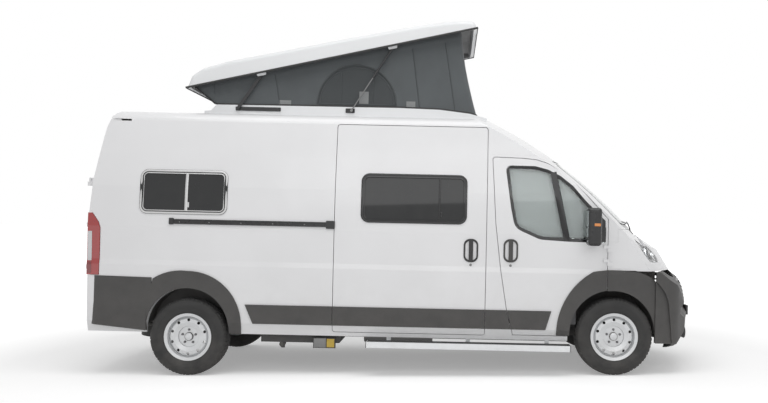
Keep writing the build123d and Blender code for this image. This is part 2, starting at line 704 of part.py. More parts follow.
def lid():
    radii = {1: 90, 2: 200, 3: 400, 5: 600, 6: 300, 7: 60}
    shell = across(rounded(LID_PROFILE, radii), -LID_Y, LID_Y)
    long_edges = shell.edges().filter_by(lambda e: abs(abs(e.center().Y) - LID_Y) < 1 and e.center().Z > 40)
    shell = fillet(long_edges, 46)
    inner = [(40, -10), (110, 100), (220, 128), (480, 142), (1600, 127), (2400, 109), (2690, 84),
             (2860, 50), (2872, -10)]
    pocket = across(outline(*inner), -LID_Y + LID_SIDE_T, LID_Y - LID_SIDE_T)
    return on_lid(shell - pocket)


def roof_collar():
    """Raised white collar round the hatch, which the tent is fixed to."""
    side = outline((COLLAR_TOP[0][0], 2380), *COLLAR_TOP, (COLLAR_TOP[-1][0], 2380))
    ring = across(side, -COLLAR_Y, COLLAR_Y)
    x0, x1 = COLLAR_TOP[0][0] + COLLAR_T, COLLAR_TOP[-1][0] - 90
    ring -= upward(plate(x0, x1, -COLLAR_Y + COLLAR_T, COLLAR_Y - COLLAR_T, 40), 2300, 2700)
    return ring - van_form(-SEAT)


TENT_SIDE = ((-1930, 2536), (-2090, 2683), (556, 3280), (575, 3162), (598, 3024), (642, 2828), (685, 2660),
             (722, 2484))


def tent():
    """Canvas walls of the pop-top, between the collar and the lid."""
    foot = [(COLLAR_TOP[2][0] - 6, COLLAR_TOP[2][1] + 6)]
    top_rear, top_front = lid_point(60, 20), lid_point(2752, 20)
    front = [(575, 3162), (598, 3024), (642, 2828), (685, 2660), (716, 2545)]
    over_collar = [(649, 2500), (352, 2535), (-44, 2542)]
    side = outline(foot[0], top_rear, top_front, *front, *over_collar)
    walls = across(side, -COLLAR_Y + 12, COLLAR_Y - 12)
    inner_front = [(x - 12, z) for x, z in front]
    inner = outline((foot[0][0] + 12, foot[0][1] - 40), (foot[0][0] + 12, foot[0][1] + 2),
                    (top_rear[0] + 26, top_rear[1] + 14), (top_front[0] - 13, top_front[1] + 30),
                    *inner_front, (inner_front[-1][0], 2440))
    return walls - across(inner, -COLLAR_Y + 24, COLLAR_Y - 24)


def lift_arm_points():
    """Base pivot, raised lid pivot and length of the rear lifting arms."""
    lid_pivot = lid_point(*ARM_LID)
    return ARM_BASE, lid_pivot, hypot(lid_pivot[0] - ARM_BASE[0], lid_pivot[1] - ARM_BASE[1])


ARM_Y = (666, 674)


def bar(a, b, y0, y1, width):
    """A flat link with round ends between two points of a side view."""
    angle = degrees(atan2(b[1] - a[1], b[0] - a[0]))
    length = hypot(b[0] - a[0], b[1] - a[1])
    face = Pos((a[0] + b[0]) / 2, (a[1] + b[1]) / 2) * Rot(0, 0, angle) * SlotOverall(length + width, width)
    return across(face, y0, y1)


def lift_arms():
    base, top, _ = lift_arm_points()
    arm = bar(base, top, -ARM_Y[1], -ARM_Y[0], 30)
    arm -= pin_y(*base, -700, -600, 7) + pin_y(*top, -700, -600, 7)
    return both_sides(arm)


def lift_brackets():
    """Base plates on the collar's sides, with the pins that the arms and struts turn on."""
    plate_side = across(plate(-1664, -1218, 2474, 2512, 8), -COLLAR_Y - SEAT - 7, -COLLAR_Y - SEAT)
    pivot = pin_y(*ARM_BASE, -ARM_Y[1] - 6, -COLLAR_Y - 4, 7 - SEAT)
    strut_plate = across(plate(STRUT_BASE[0] - 60, STRUT_BASE[0] + 30, 2474, 2518, 8),
                         -COLLAR_Y - SEAT - 7, -COLLAR_Y - SEAT)
    stud = pin_y(*STRUT_BASE, -664, -COLLAR_Y - 4, 6)
    return both_sides(plate_side + pivot) + both_sides(strut_plate + stud)


def lid_brackets():
    """Plates inside the lid's rim, with the pins for the arms and the struts."""
    pieces = []
    for u, w in (ARM_LID, STRUT_LID):
        x, z = lid_point(u, w)
        wall = -LID_Y + LID_SIDE_T + SEAT
        ear = on_lid(across(plate(u - 45, u + 45, w - 18, w + 80, 12), wall, wall + 7))
        pin = pin_y(x, z, wall + 4, -663, 7 - SEAT)
        pieces += both_sides(ear + pin)
    return pieces


def strut_points():
    top = lid_point(*STRUT_LID)
    return top, STRUT_BASE


def toward(a, b, distance):
    length = hypot(b[0] - a[0], b[1] - a[1])
    return a[0] + (b[0] - a[0]) * distance / length, a[1] + (b[1] - a[1]) * distance / length


def strut_tubes():
    top, base = strut_points()
    start, end = toward(top, base, 26), toward(top, base, 360)
    y = -STRUT_Y
    tube = rod((start[0], y, start[1]), (end[0], y, end[1]), 11)
    inside = toward(top, base, 70)
    tube -= rod((inside[0], y, inside[1]), (end[0], y, end[1]), 6.5)
    eye = pin_y(*top, y - 5, y + 5, 16) + bar(top, start, y - 5, y + 5, 14)
    tube = tube + eye - pin_y(*top, -700, -600, 7)
    return both_sides(tube)


def strut_rods():
    top, base = strut_points()
    length = hypot(top[0] - base[0], top[1] - base[1])
    start, end = toward(top, base, 230), toward(top, base, length - 12)
    y = -STRUT_Y
    shaft = rod((start[0], y, start[1]), (end[0], y, end[1]), 6)
    eye = pin_y(*base, y - 5, y + 5, 13)
    return both_sides(shaft + eye)


# ---------------------------------------------------------------- running gear and underside
def tyre(x, z, y):
    """Radial tyre: tread band, shoulders and bulged walls."""
    half, rim_r = TYRE_W / 2, 206
    profile = ((rim_r, half - 26), (rim_r + 22, half - 20), (rim_r + 78, half), (TYRE_R - 44, half - 6),
               (TYRE_R - 10, half - 22), (TYRE_R, half - 42))
    right = [(w, r) for r, w in profile]
    left = [(-w, r) for r, w in reversed(profile)]
    section = outline(*right, *left)
    ring = revolve(Plane.YZ * section, Axis.Y, 360)
    return Pos(x, y, z) * ring


@lru_cache(maxsize=None)
def wheel_rim():
    """Pressed-steel wheel for the right side: barrel, dished disc, ten round vents and five bolt holes."""
    out = -1
    barrel = ((206 - SEAT, -88), (206 - SEAT, 88), (224, 93), (224, 99), (196, 91), (188, 60), (184, 0),
              (188, -60), (196, -91), (224, -99), (224, -93))
    ring = revolve(Plane.YZ * outline(*[(w * out, r) for r, w in barrel]), Axis.Y, 360)
    dish = ((192, 40), (192, 52), (170, 70), (140, 74), (100, 62), (96, 48), (40, 48), (40, 40), (104, 40),
            (108, 50), (142, 62), (164, 58), (176, 44))
    disc = revolve(Plane.YZ * outline(*[(w * out, r) for r, w in dish]), Axis.Y, 360)
    for number in range(10):
        disc -= Rot(0, 36 * number + 18, 0) * pin_y(160, 0, -200, 200, 14)
    for number in range(5):
        disc -= Rot(0, 72 * number, 0) * pin_y(0, 65, -200, 200, 8)
    return ring + disc


def hub_knuckle(side):
    """Steering knuckle with its hub flange, brake disc and caliper."""
    x, z = FRONT_AXLE_X, TYRE_R
    upright = block(x - 34, x + 34, -STEER_Y - 22, -STEER_Y + 34, z - 96, z + 96)
    spindle = pin_y(x, z, -TRACK_Y - 36, -STEER_Y, 38)
    flange = pin_y(x, z, -TRACK_Y - 40 + SEAT, -TRACK_Y - 26, 80)
    disc = pin_y(x, z, -TRACK_Y - 26, -TRACK_Y - 4, 140)
    nose = pin_y(x, z, -TRACK_Y - 62, -TRACK_Y - 30, 39.4)
    caliper = across(rounded(((x + 70, z - 70), (x + 158, z - 60), (x + 158, z + 60), (x + 70, z + 70)), {}),
                     -TRACK_Y - 30, -STEER_Y + 30)
    knuckle = upright + spindle + flange + disc + nose + caliper
    knuckle -= rod((x, -STEER_Y, z - 97), (x, -STEER_Y, z - 70), 12.3)
    knuckle -= rod((x, -STEER_Y, z + 97), (x, -STEER_Y, z + 70), 12.3)
    return knuckle if side < 0 else mirrored(knuckle)


def front_suspension():
    """Crossmember, lower and upper wishbones, and the ball pins that the knuckles turn on."""
    x, z = FRONT_AXLE_X, TYRE_R
    beam = block(x - 90, x + 90, -RAIL_Y[0] - 60, RAIL_Y[0] + 60, 240, RAIL_BOTTOM - SEAT)
    root = -RAIL_Y[0] - 60 - SEAT
    end = -STEER_Y - 12
    lower = upward(outline((x - 150, root), (x + 150, root), (x + 40, -600), (x + 22, end), (x - 22, end),
                           (x - 40, -600)), z - 128, z - 104)
    lower += rod((x, -STEER_Y, z - 110), (x, -STEER_Y, z - 74), 12)
    upper = upward(outline((x - 60, -540), (x + 60, -540), (x + 22, end), (x - 22, end)), z + 104, z + 122)
    upper += block(x - 60, x + 60, -ARCH_INNER_FRONT + 12 + SEAT, -540, z - 20, z + 122)
    upper += rod((x, -STEER_Y, z + 110), (x, -STEER_Y, z + 74), 12)
    return [beam, *both_sides(lower), *both_sides(upper)]


def rear_axle():
    """Dead beam axle on single-leaf springs, with hub flanges and brake discs."""
    x, z = REAR_X, REAR_Z
    beam = pin_y(x, z, -TRACK_Y + 30, TRACK_Y - 30, 38)
    axle = beam
    for s in (-1, 1):
        axle += pin_y(x, z, s * (TRACK_Y - 40), s * (TRACK_Y + 40 - SEAT), 62)
        axle += pin_y(x, z, s * (TRACK_Y + 4), s * (TRACK_Y + 26), 138)
        axle += pin_y(x, z, s * (TRACK_Y + 30), s * (TRACK_Y + 62), 39.4)
        axle += block(x - 60, x + 60, s * 620 - 38, s * 620 + 38, z - 52, z + 52)
        spring = ThreePointArc((x - 640, 372), (x, z + 40), (x + 640, 372))
        leaf = make_face(spring + ThreePointArc((x - 640, 386), (x, z + 54), (x + 640, 386))
                         + Line((x - 640, 372), (x - 640, 386)) + Line((x + 640, 372), (x + 640, 386)))
        axle += across(leaf, s * 620 - 30, s * 620 + 30)
        for end in (-1, 1):
            axle += block(x + end * 625 - 22, x + end * 625 + 22, s * 620 - 34, s * 620 + 34, 368, RAIL_TOP)
    return axle


def chassis_frame():
    """Two rails kicked up over the rear axle, cross members, spare-wheel carrier and front crash beam."""
    rails = []
    y0, y1 = RAIL_Y
    beam = (bumper_form(BUMPER_T + SEAT) - bumper_form(80)) & block(2500, 3100, -740, 740, *BEAM_Z)
    for s in (-1, 1):
        middle, half = s * (y0 + y1) / 2, (y1 - y0) / 2
        rail = block(-2870, 2520, middle - half, middle + half, RAIL_BOTTOM, RAIL_TOP)
        rail -= block(REAR_X - 150, REAR_X + 150, middle - 60, middle + 60, 0, 345)
        post = block(2440, 2520, middle - half, middle + half, RAIL_TOP + SEAT, BEAM_Z[1])
        horn = block(2519, 2950, middle - half, middle + half, *BEAM_Z) & bumper_form(79)
        rails += [rail, post + horn]
    inner = y0 - SEAT
    members = [block(x - 20, x + 20, -inner, inner, 330, 390) for x in (-2850, -1200, 0, 1200, 2480)]
    members.append(block(SPARE[0] - 40, SPARE[0] + 40, -inner, inner, SPARE[1] + SPARE[3] / 2 + SEAT, 390))
    return rails, [*members, beam]


def engine():
    """The engine as one block, with the mounts that rest on the rails."""
    unit = block(2190, 2580, -360, 360, 420, 960)
    for s in (-1, 1):
        unit += block(2320, 2400, s * 395 - 50, s * 395 + 50, RAIL_TOP + SEAT, 460)
    return unit


def tanks():
    fuel = block(300, 1260, 456, 900, 232, RAIL_TOP)
    grey = block(-1310, -560, -900, -456, 236, RAIL_TOP)
    fresh = block(-1200, -300, 456, 900, 236, RAIL_TOP)
    valve = pin_y(-1110, 214, -870, -800, 22)
    spout = rod((-1110, -835, 236), (-1110, -835, 176), 19) + valve
    locker = block(-806, -596, -930, -890, 190, 290)
    fuel, fresh = (fillet(tank.edges().filter_by(Axis.Z), 40) for tank in (fuel, fresh))
    return [fuel, grey + spout + locker, fresh]


def exhaust():
    y = -280
    front_pipe = rod((1700, y, 245), (300, y, 245), 30)
    muffler = rod((320, y, 245), (-380, y, 245), 76)
    tail = rod((-360, y, 245), (-1300, y, 245), 28)
    for x in (-1150, -280, 220, 1500):
        tail += block(x - 14, x + 14, -RAIL_Y[0] + SEAT, y - 18, 236, 330)
    return front_pipe + muffler + tail


SPARE = (-2420, 248, 340, 150)


def spare_wheel():
    x, z, radius, depth = SPARE
    return Pos(x, 0, z) * Cylinder(radius, depth)


def running_board():
    """Folded aluminium step along the right sill, on three brackets."""
    x0, x1 = -288, 1626
    board = along(outline((-1112, 230), (-1112, 286), (-976, 286), (-976, 279), (-1105, 279), (-1105, 230)), x0, x1)
    for x in (x0 + 200, (x0 + x1) / 2, x1 - 200):
        leg = outline((-1090, 279), (-1090, 266), (-885, 266), (-885, RAIL_TOP), (-900, RAIL_TOP), (-900, 279))
        board += along(leg, x - 20, x + 20)
    return board


# ---------------------------------------------------------------- inside
def cab_seats():
    """Two front seats, each base, cushion, back and head restraint in one piece."""
    side = outline((1180, ON_FLOOR), (1600, ON_FLOOR), (1580, 640), (1660, 660), (1660, 800), (1330, 800), (1150, 1420),
                   (1160, 1440), (1140, 1640), (1040, 1640), (1030, 1440), (1200, 720), (1200, 640))
    pieces = []
    for y in (-480, 480):
        pieces.append(across(side, y - 250, y + 250))
    return pieces


def dashboard():
    top = outline((1720, 960), (1800, 1150), (1960, 1165), (1990 - SEAT, 1140), (2120 - SEAT, 990), (2120 - SEAT, 760),
                  (1880, 760), (1850, 930))
    dash = across(top, -900, 900) & van_form(WALL + SEAT)
    return dash - wells(16) - steering_column(34.3)


def steering_wheel():
    ring = Pos(1600, 480, 1080) * Rot(0, -62, 0) * Torus(190, 15)
    spoke = Pos(1600, 480, 1080) * Rot(0, -62, 0) * Box(60, 370, 16)
    return ring + spoke + steering_column(34)


def steering_column(radius):
    return rod((1590, 480, 1086), (1790, 480, 980), radius)


def furniture():
    galley = block(-1300, 300, 470, 890, ON_FLOOR, 1320)
    bed = block(-2860, -1560, -850, 850, 1010, 1110)
    legs = [block(-1620, -1570, s * 700 - 40, s * 700 + 40, ON_FLOOR, 1010) for s in (-1, 1)]
    return [galley & van_form(WALL + SEAT), (bed & van_form(WALL + SEAT)) + legs[0] + legs[1]]


# ---------------------------------------------------------------- hinges
DOOR_HINGE = (DOOR_FRONT_X + GAP / 2, 1029)
REAR_HINGE = (-2985, REAR_DOOR_Y + GAP / 2)


def door_hinges(side):
    """Body halves and door halves of a front door's two pin hinges."""
    x, y = DOOR_HINGE
    body, door = [], []
    for z in (1040, 1170):
        leaf = block(x, x + 44, -y - 6, -y + 26, z, z + 30) - van_form(-SEAT)
        pin = rod((x, -y, z), (x, -y, z + 62), 5 - SEAT)
        knuckle = rod((x, -y, z), (x, -y, z + 30), 8)
        body.append(leaf + knuckle + pin)
        leaf = block(x - 44, x, -y - 6, -y + 26, z + 31, z + 61)
        knuckle = rod((x, -y, z + 31), (x, -y, z + 61), 8)
        door.append((leaf - van_form(0)) + knuckle - rod((x, -y, z + 20), (x, -y, z + 70), 5))
    if side > 0:
        body, door = [mirrored(p) for p in body], [mirrored(p) for p in door]
    return body, door


def rear_hinges(side):
    x, y = REAR_HINGE
    body, door = [], []
    for z in (900, 1300, 1690):
        knuckle = rod((x, -y, z), (x, -y, z + 40), 11)
        leaf = block(x - 6, -2880, -y - 44, -y, z, z + 40) - van_form(-SEAT)
        body.append(knuckle + leaf + rod((x, -y, z), (x, -y, z + 80), 6 - SEAT))
        knuckle = rod((x, -y, z + 41), (x, -y, z + 80), 11)
        leaf = block(x - 6, -2880, -y + 3, -y + 46, z + 41, z + 80) - van_form(0)
        link = block(x - 6, x + 8, -y, -y + 10, z + 41, z + 80)
        door.append(knuckle + leaf + link - rod((x, -y, z + 30), (x, -y, z + 90), 6))
    if side > 0:
        body, door = [mirrored(p) for p in body], [mirrored(p) for p in door]
    return body, door


# ---------------------------------------------------------------- the model
def park(shape):
    """Pitches a piece drawn level onto the van's wheels."""
    return shape.rotate(Axis((FRONT_AXLE_X, 0, TYRE_R), (0, 1, 0)), RAKE)


def fused(base, extras):
    for extra in extras:
        base = base + extra
    return base


def build():
    nodes = {}
    for side, name in ((-1, "right"), (1, "left")):
        body_hinges, door_leaves = door_hinges(side)
        tail_hinges, tail_leaves = rear_hinges(side)
        nodes[f"side_panel_{name}"] = [side_wall(side), *tail_hinges]
        nodes[f"fender_{name}"] = [fused(fender(side), body_hinges)]
        nodes[f"front_door_{name}"] = [fused(front_door(side), door_leaves)]
        nodes[f"front_door_glass_{name}"] = [front_door_glass(side)]
        nodes[f"front_door_trim_{name}"] = door_trim(side)
        nodes[f"door_mirror_{name}"] = mirror_unit(side)
        nodes[f"rear_door_{name}"] = [fused(rear_door(side), tail_leaves)]
        nodes[f"rear_door_glass_{name}"] = [rear_door_glass(side)]
        nodes[f"steering_knuckle_{name}"] = [hub_knuckle(side)]
        for axle, x, z in (("front", FRONT_AXLE_X, TYRE_R), ("rear", REAR_X, REAR_Z)):
            nodes[f"tyre_{axle}_{name}"] = [tyre(x, z, side * TRACK_Y)]
            rim = wheel_rim() if side < 0 else mirrored(wheel_rim())
            nodes[f"wheel_{axle}_{name}"] = [Pos(x, side * TRACK_Y, z) * rim]
    rails, members = chassis_frame()
    nodes.update({
        "roof_panel": [roof_panel()],
        "floor_pan": [floor_pan()],
        "front_structure": front_structure(),
        "hood": [hood()],
        "windscreen": [windscreen()],
        "front_bumper": [front_bumper()],
        "grille": grille(),
        "rear_bumper": [rear_bumper()],
        "headlamps": headlamps(),
        "tail_lamps": tail_lamps(),
        "sliding_door": [sliding_door()],
        "sliding_door_fittings": sliding_door_fittings(),
        "side_windows": [*camper_window(SLIDER_WINDOW), *camper_window(QUARTER_WINDOW),
                         *camper_window(QUARTER_WINDOW, 1), *camper_window(GALLEY_WINDOW, 1)],
        "arch_flares": arch_flares(),
        "sill_cladding": sill_cladding(),
        "running_board": [running_board()],
        "roof_collar": [roof_collar()],
        "lift_brackets": lift_brackets(),
        "tent": [tent()],
        "roof_lid": [lid(), *lid_brackets()],
        "lift_arms": lift_arms(),
        "strut_tubes": strut_tubes(),
        "strut_rods": strut_rods(),
        "chassis_rails": [*rails, *members],
        "front_suspension": front_suspension(),
        "rear_axle": [rear_axle()],
        "engine": [engine()],
        "tanks": tanks(),
        "exhaust": [exhaust()],
        "spare_wheel": [spare_wheel()],
        "cab_seats": cab_seats(),
        "dashboard": [dashboard()],
        "steering_wheel": [steering_wheel()],
        "furniture": furniture(),
    })
    return nodes


def solids_of(pieces):
    found = []
    for piece in pieces:
        found.extend(piece.solids())
    return found


if __name__ == "__main__":
    os.makedirs("parts", exist_ok=True)
    for node, pieces in build().items():
        solids = [park(solid) for solid in solids_of(pieces)]
        export_step(solids[0] if len(solids) == 1 else Compound(children=solids), f"parts/{node}.step")
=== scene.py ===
import json
from math import cos, hypot, pi, radians, sin, sqrt

import bmesh
import bpy
from bpy.props import FloatProperty, FloatVectorProperty, PointerProperty
from mathutils import Matrix, Vector
from mathutils.bvhtree import BVHTree


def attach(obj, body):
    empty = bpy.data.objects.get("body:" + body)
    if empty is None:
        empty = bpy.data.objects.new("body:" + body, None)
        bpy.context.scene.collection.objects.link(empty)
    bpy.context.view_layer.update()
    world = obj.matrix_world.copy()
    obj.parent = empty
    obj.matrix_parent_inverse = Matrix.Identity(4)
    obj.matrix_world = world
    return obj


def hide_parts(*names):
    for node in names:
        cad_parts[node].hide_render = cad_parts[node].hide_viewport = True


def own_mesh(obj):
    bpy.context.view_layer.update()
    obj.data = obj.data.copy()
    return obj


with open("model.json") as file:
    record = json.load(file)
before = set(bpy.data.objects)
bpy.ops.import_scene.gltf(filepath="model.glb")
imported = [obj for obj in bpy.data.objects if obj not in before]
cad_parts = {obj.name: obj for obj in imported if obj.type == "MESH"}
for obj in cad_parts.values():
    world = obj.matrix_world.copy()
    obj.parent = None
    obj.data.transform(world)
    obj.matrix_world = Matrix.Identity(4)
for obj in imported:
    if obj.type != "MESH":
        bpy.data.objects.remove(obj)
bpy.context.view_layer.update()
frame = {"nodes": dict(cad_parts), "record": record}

bl_info = {
    "name": "Camper van",
    "version": (1, 0, 0),
    "blender": (4, 5, 0),
    "location": "View3D > Sidebar > Camper van",
    "description": "Dresses the solids of a high-roof camper van with its finishes and fittings",
    "category": "Object",
}

# The body was drawn with its sills level, in millimetres, and then pitched about the front wheels.
RAKE = radians(1.25)
WHEELBASE = 4035.0
TYRE_R = 366.0
FRONT_AXLE = (2051.0, TYRE_R)
REAR_AXLE = (FRONT_AXLE[0] - WHEELBASE * cos(RAKE), FRONT_AXLE[1] - WHEELBASE * sin(RAKE))
TRACK_Y = 905.0
SIDES = ((-1, "right"), (1, "left"))


# ---------------------------------------------------------------- places
def parked(x, y, z):
    """A point of the level body, in millimetres, as a point of the frame in metres."""
    dx, dz = x - FRONT_AXLE[0], z - FRONT_AXLE[1]
    return Vector((FRONT_AXLE[0] + dx * cos(RAKE) + dz * sin(RAKE), y,
                   FRONT_AXLE[1] - dx * sin(RAKE) + dz * cos(RAKE))) / 1000


def level_point(place):
    """A point of the frame in metres, as a point of the level body in millimetres."""
    dx, dz = place.x * 1000 - FRONT_AXLE[0], place.z * 1000 - FRONT_AXLE[1]
    return Vector((FRONT_AXLE[0] + dx * cos(RAKE) - dz * sin(RAKE), place.y * 1000,
                   FRONT_AXLE[1] + dx * sin(RAKE) + dz * cos(RAKE)))


def park_mesh(mesh):
    """Moves a mesh that was drawn level and in millimetres into the frame."""
    for vertex in mesh.vertices:
        vertex.co = parked(*vertex.co)


# ---------------------------------------------------------------- meshes
def finish_mesh(name, bm, level=True):
    """A mesh from what was drawn, its normals facing out, in the frame's metres."""
    mesh = bpy.data.meshes.new(name)
    bmesh.ops.recalc_face_normals(bm, faces=bm.faces)
    bm.to_mesh(mesh)
    bm.free()
    if level:
        park_mesh(mesh)
    return mesh


def piece(name, shape, body, slot, finish=None, smooth=35.0, level=True):
    """A new piece that rides on a body of the van; smooth is the largest angle that is shaded round."""
    mesh = finish_mesh(name, shape, level) if isinstance(shape, bmesh.types.BMesh) else shape
    for polygon in mesh.polygons:
        polygon.use_smooth = True
    mesh.set_sharp_from_angle(angle=radians(smooth))
    obj = bpy.data.objects.new(name, mesh)
    bpy.context.scene.collection.objects.link(obj)
    mesh.materials.append(MATS[finish or slot])
    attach(obj, body)
    return obj


def merged(bm, part):
    """Adds a part that was drawn by itself."""
    loose = bpy.data.meshes.new("part")
    part.to_mesh(loose)
    part.free()
    bm.from_mesh(loose)
    bpy.data.meshes.remove(loose)


def slab(bm, x0, x1, y0, y1, z0, z1, bevel=2.0, turn=None):
    """A block with rounded edges; turn is a matrix applied about its middle."""
    part = bmesh.new()
    size = Matrix.Diagonal((abs(x1 - x0), abs(y1 - y0), abs(z1 - z0), 1))
    bmesh.ops.create_cube(part, size=1.0, matrix=size)
    if bevel:
        bmesh.ops.bevel(part, geom=part.edges[:], offset=bevel, segments=2, affect="EDGES", profile=0.6)
    middle = Matrix.Translation(((x0 + x1) / 2, (y0 + y1) / 2, (z0 + z1) / 2))
    part.transform(middle @ (turn or Matrix.Identity(4)))
    merged(bm, part)


def prism(bm, outline, y0, y1):
    """A side outline (x, z) carried from y0 to y1."""
    near = [bm.verts.new((x, y0, z)) for x, z in outline]
    far = [bm.verts.new((x, y1, z)) for x, z in outline]
    bm.faces.new(near)
    bm.faces.new(list(reversed(far)))
    for number in range(len(outline)):
        after = (number + 1) % len(outline)
        bm.faces.new((near[after], near[number], far[number], far[after]))


def tube(bm, path, radius, sides=10, flat=1.0, closed=False):
    """A round or flattened bar along a path of points; radius may be one number or one for each point."""
    points = [Vector(point) for point in path]
    count = len(points)
    radii = radius if hasattr(radius, "__len__") else [radius] * count
    rings, up = [], None
    for number, point in enumerate(points):
        before = points[number - 1] if number or closed else point
        after = points[(number + 1) % count] if number + 1 < count or closed else point
        way = (after - before).normalized()
        if up is None:
            up = way.orthogonal().normalized()
        up = (up - way * up.dot(way)).normalized()
        side = way.cross(up)
        ring = []
        for step in range(sides):
            angle = 2 * pi * step / sides
            ring.append(bm.verts.new(point + (up * cos(angle) * flat + side * sin(angle)) * radii[number]))
        rings.append(ring)
    for number in range(count if closed else count - 1):
        a, b = rings[number], rings[(number + 1) % count]
        for step in range(sides):
            after = (step + 1) % sides
            bm.faces.new((a[step], a[after], b[after], b[step]))
    if not closed:
        bm.faces.new(list(reversed(rings[0])))
        bm.faces.new(rings[-1])


def lathe(bm, profile, centre, steps=48, axis="Y", closed=True):
    """A profile of (radius, distance along the axis) turned about a centre."""
    cx, cy, cz = centre
    rings = []
    for radius, along in profile:
        ring = []
        for step in range(steps):
            angle = 2 * pi * step / steps
            a, b = radius * cos(angle), radius * sin(angle)
            spot = {"X": (cx + along, cy + a, cz + b), "Y": (cx + a, cy + along, cz + b),
                    "Z": (cx + a, cy + b, cz + along)}[axis]
            ring.append(bm.verts.new(spot))
        rings.append(ring)
    count = len(rings)
    for number in range(count if closed else count - 1):
        a, b = rings[number], rings[(number + 1) % count]
        for step in range(steps):
            after = (step + 1) % steps
            bm.faces.new((a[step], a[after], b[after], b[step]))
    if not closed:
        bm.faces.new(list(reversed(rings[0])))
        bm.faces.new(rings[-1])


def grid(bm, rows):
    """A sheet from rows of points."""
    verts = [[bm.verts.new(point) for point in row] for row in rows]
    for near, far in zip(verts, verts[1:]):
        for number in range(len(near) - 1):
            bm.faces.new((near[number], near[number + 1], far[number + 1], far[number]))
    return verts


def thicken(bm, thickness):
    bmesh.ops.recalc_face_normals(bm, faces=bm.faces)
    bmesh.ops.solidify(bm, geom=bm.faces[:], thickness=thickness)


def round_rectangle(x0, x1, z0, z1, radius, steps=6):
    """Corners by arcs, as points (x, z) in order."""
    points = []
    corners = ((x1 - radius, z1 - radius, 0), (x0 + radius, z1 - radius, 90), (x0 + radius, z0 + radius, 180),
               (x1 - radius, z0 + radius, 270))
    for cx, cz, start in corners:
        for step in range(steps + 1):
            angle = radians(start + 90 * step / steps)
            points.append((cx + radius * cos(angle), cz + radius * sin(angle)))
    return points


TREES = {}


def found_on(nodes, start, way):
    """Where a line from start (level body, millimetres) first meets any of the nodes, as a level point."""
    origin = parked(*start)
    aim = (parked(*(Vector(start) + Vector(way))) - origin).normalized()
    best = None
    for node in nodes:
        if node not in TREES:
            mesh = frame["nodes"][node].data
            corners = [vertex.co for vertex in mesh.vertices]
            TREES[node] = BVHTree.FromPolygons(corners, [polygon.vertices for polygon in mesh.polygons])
        hit, normal, _, distance = TREES[node].ray_cast(origin, aim)
        if hit is not None and (best is None or distance < best[0]):
            best = (distance, hit, normal)
    if best is None:
        raise RuntimeError(f"nothing of {nodes} lies beyond {tuple(start)}")
    return level_point(best[1]), level_point(best[1] + best[2]) - level_point(best[1])


def side_skin(nodes, x, z, side, out=0.0):
    """The point of a side's skin at (x, z), moved outward."""
    spot, _ = found_on(nodes, (x, side * 1300.0, z), (0, -side, 0))
    return Vector((x, spot.y + side * out, z))


# ---------------------------------------------------------------- shared effects
def new_group(name, inputs, outputs):
    """An empty node group with named float, colour or vector sockets."""
    kinds = {"f": "NodeSocketFloat", "c": "NodeSocketColor", "v": "NodeSocketVector"}
    group = bpy.data.node_groups.new(name, "ShaderNodeTree")
    for label, kind, default in inputs:
        socket = group.interface.new_socket(name=label, in_out="INPUT", socket_type=kinds[kind])
        if default is not None:
            socket.default_value = default
    for label, kind in outputs:
        group.interface.new_socket(name=label, in_out="OUTPUT", socket_type=kinds[kind])
    start = group.nodes.new("NodeGroupInput")
    end = group.nodes.new("NodeGroupOutput")
    return group, start, end


def add(tree, kind, **settings):
    node = tree.nodes.new(kind)
    for key, value in settings.items():
        if key in node.inputs:
            node.inputs[key].default_value = value
        else:
            setattr(node, key, value)
    return node


def mix_colour(tree, fac, a, b, blend="MIX"):
    node = add(tree, "ShaderNodeMix", data_type="RGBA", blend_type=blend)
    for socket, value in ((node.inputs[0], fac), (node.inputs[6], a), (node.inputs[7], b)):
        if isinstance(value, bpy.types.NodeSocket):
            tree.links.new(value, socket)
        elif isinstance(value, (int, float)):
            socket.default_value = value
        else:
            socket.default_value = (*value, 1.0)[:4]
    return node.outputs[2]


def math(tree, operation, a, b=0.0, clamp=False):
    node = add(tree, "ShaderNodeMath", operation=operation, use_clamp=clamp)
    for socket, value in ((node.inputs[0], a), (node.inputs[1], b)):
        if isinstance(value, bpy.types.NodeSocket):
            tree.links.new(value, socket)
        else:
            socket.default_value = value
    return node.outputs[0]


def ramp_value(tree, value, low, high, to_low=0.0, to_high=1.0):
    node = add(tree, "ShaderNodeMapRange", clamp=True)
    tree.links.new(value, node.inputs["Value"])
    for label, number in (("From Min", low), ("From Max", high), ("To Min", to_low), ("To Max", to_high)):
        node.inputs[label].default_value = number
    return node.outputs["Result"]


def scaled_place(tree, scale):
    """Object coordinates times a size on each axis."""
    place = add(tree, "ShaderNodeTexCoord")
    mapping = add(tree, "ShaderNodeMapping", vector_type="POINT")
    mapping.inputs["Scale"].default_value = scale
    tree.links.new(place.outputs["Object"], mapping.inputs["Vector"])
    return mapping.outputs["Vector"]


def noise(tree, vector, scale, detail=3.0, rough=0.55):
    node = add(tree, "ShaderNodeTexNoise")
    node.inputs["Scale"].default_value = scale
    node.inputs["Detail"].default_value = detail
    node.inputs["Roughness"].default_value = rough
    tree.links.new(vector, node.inputs["Vector"])
    return node.outputs["Fac"]


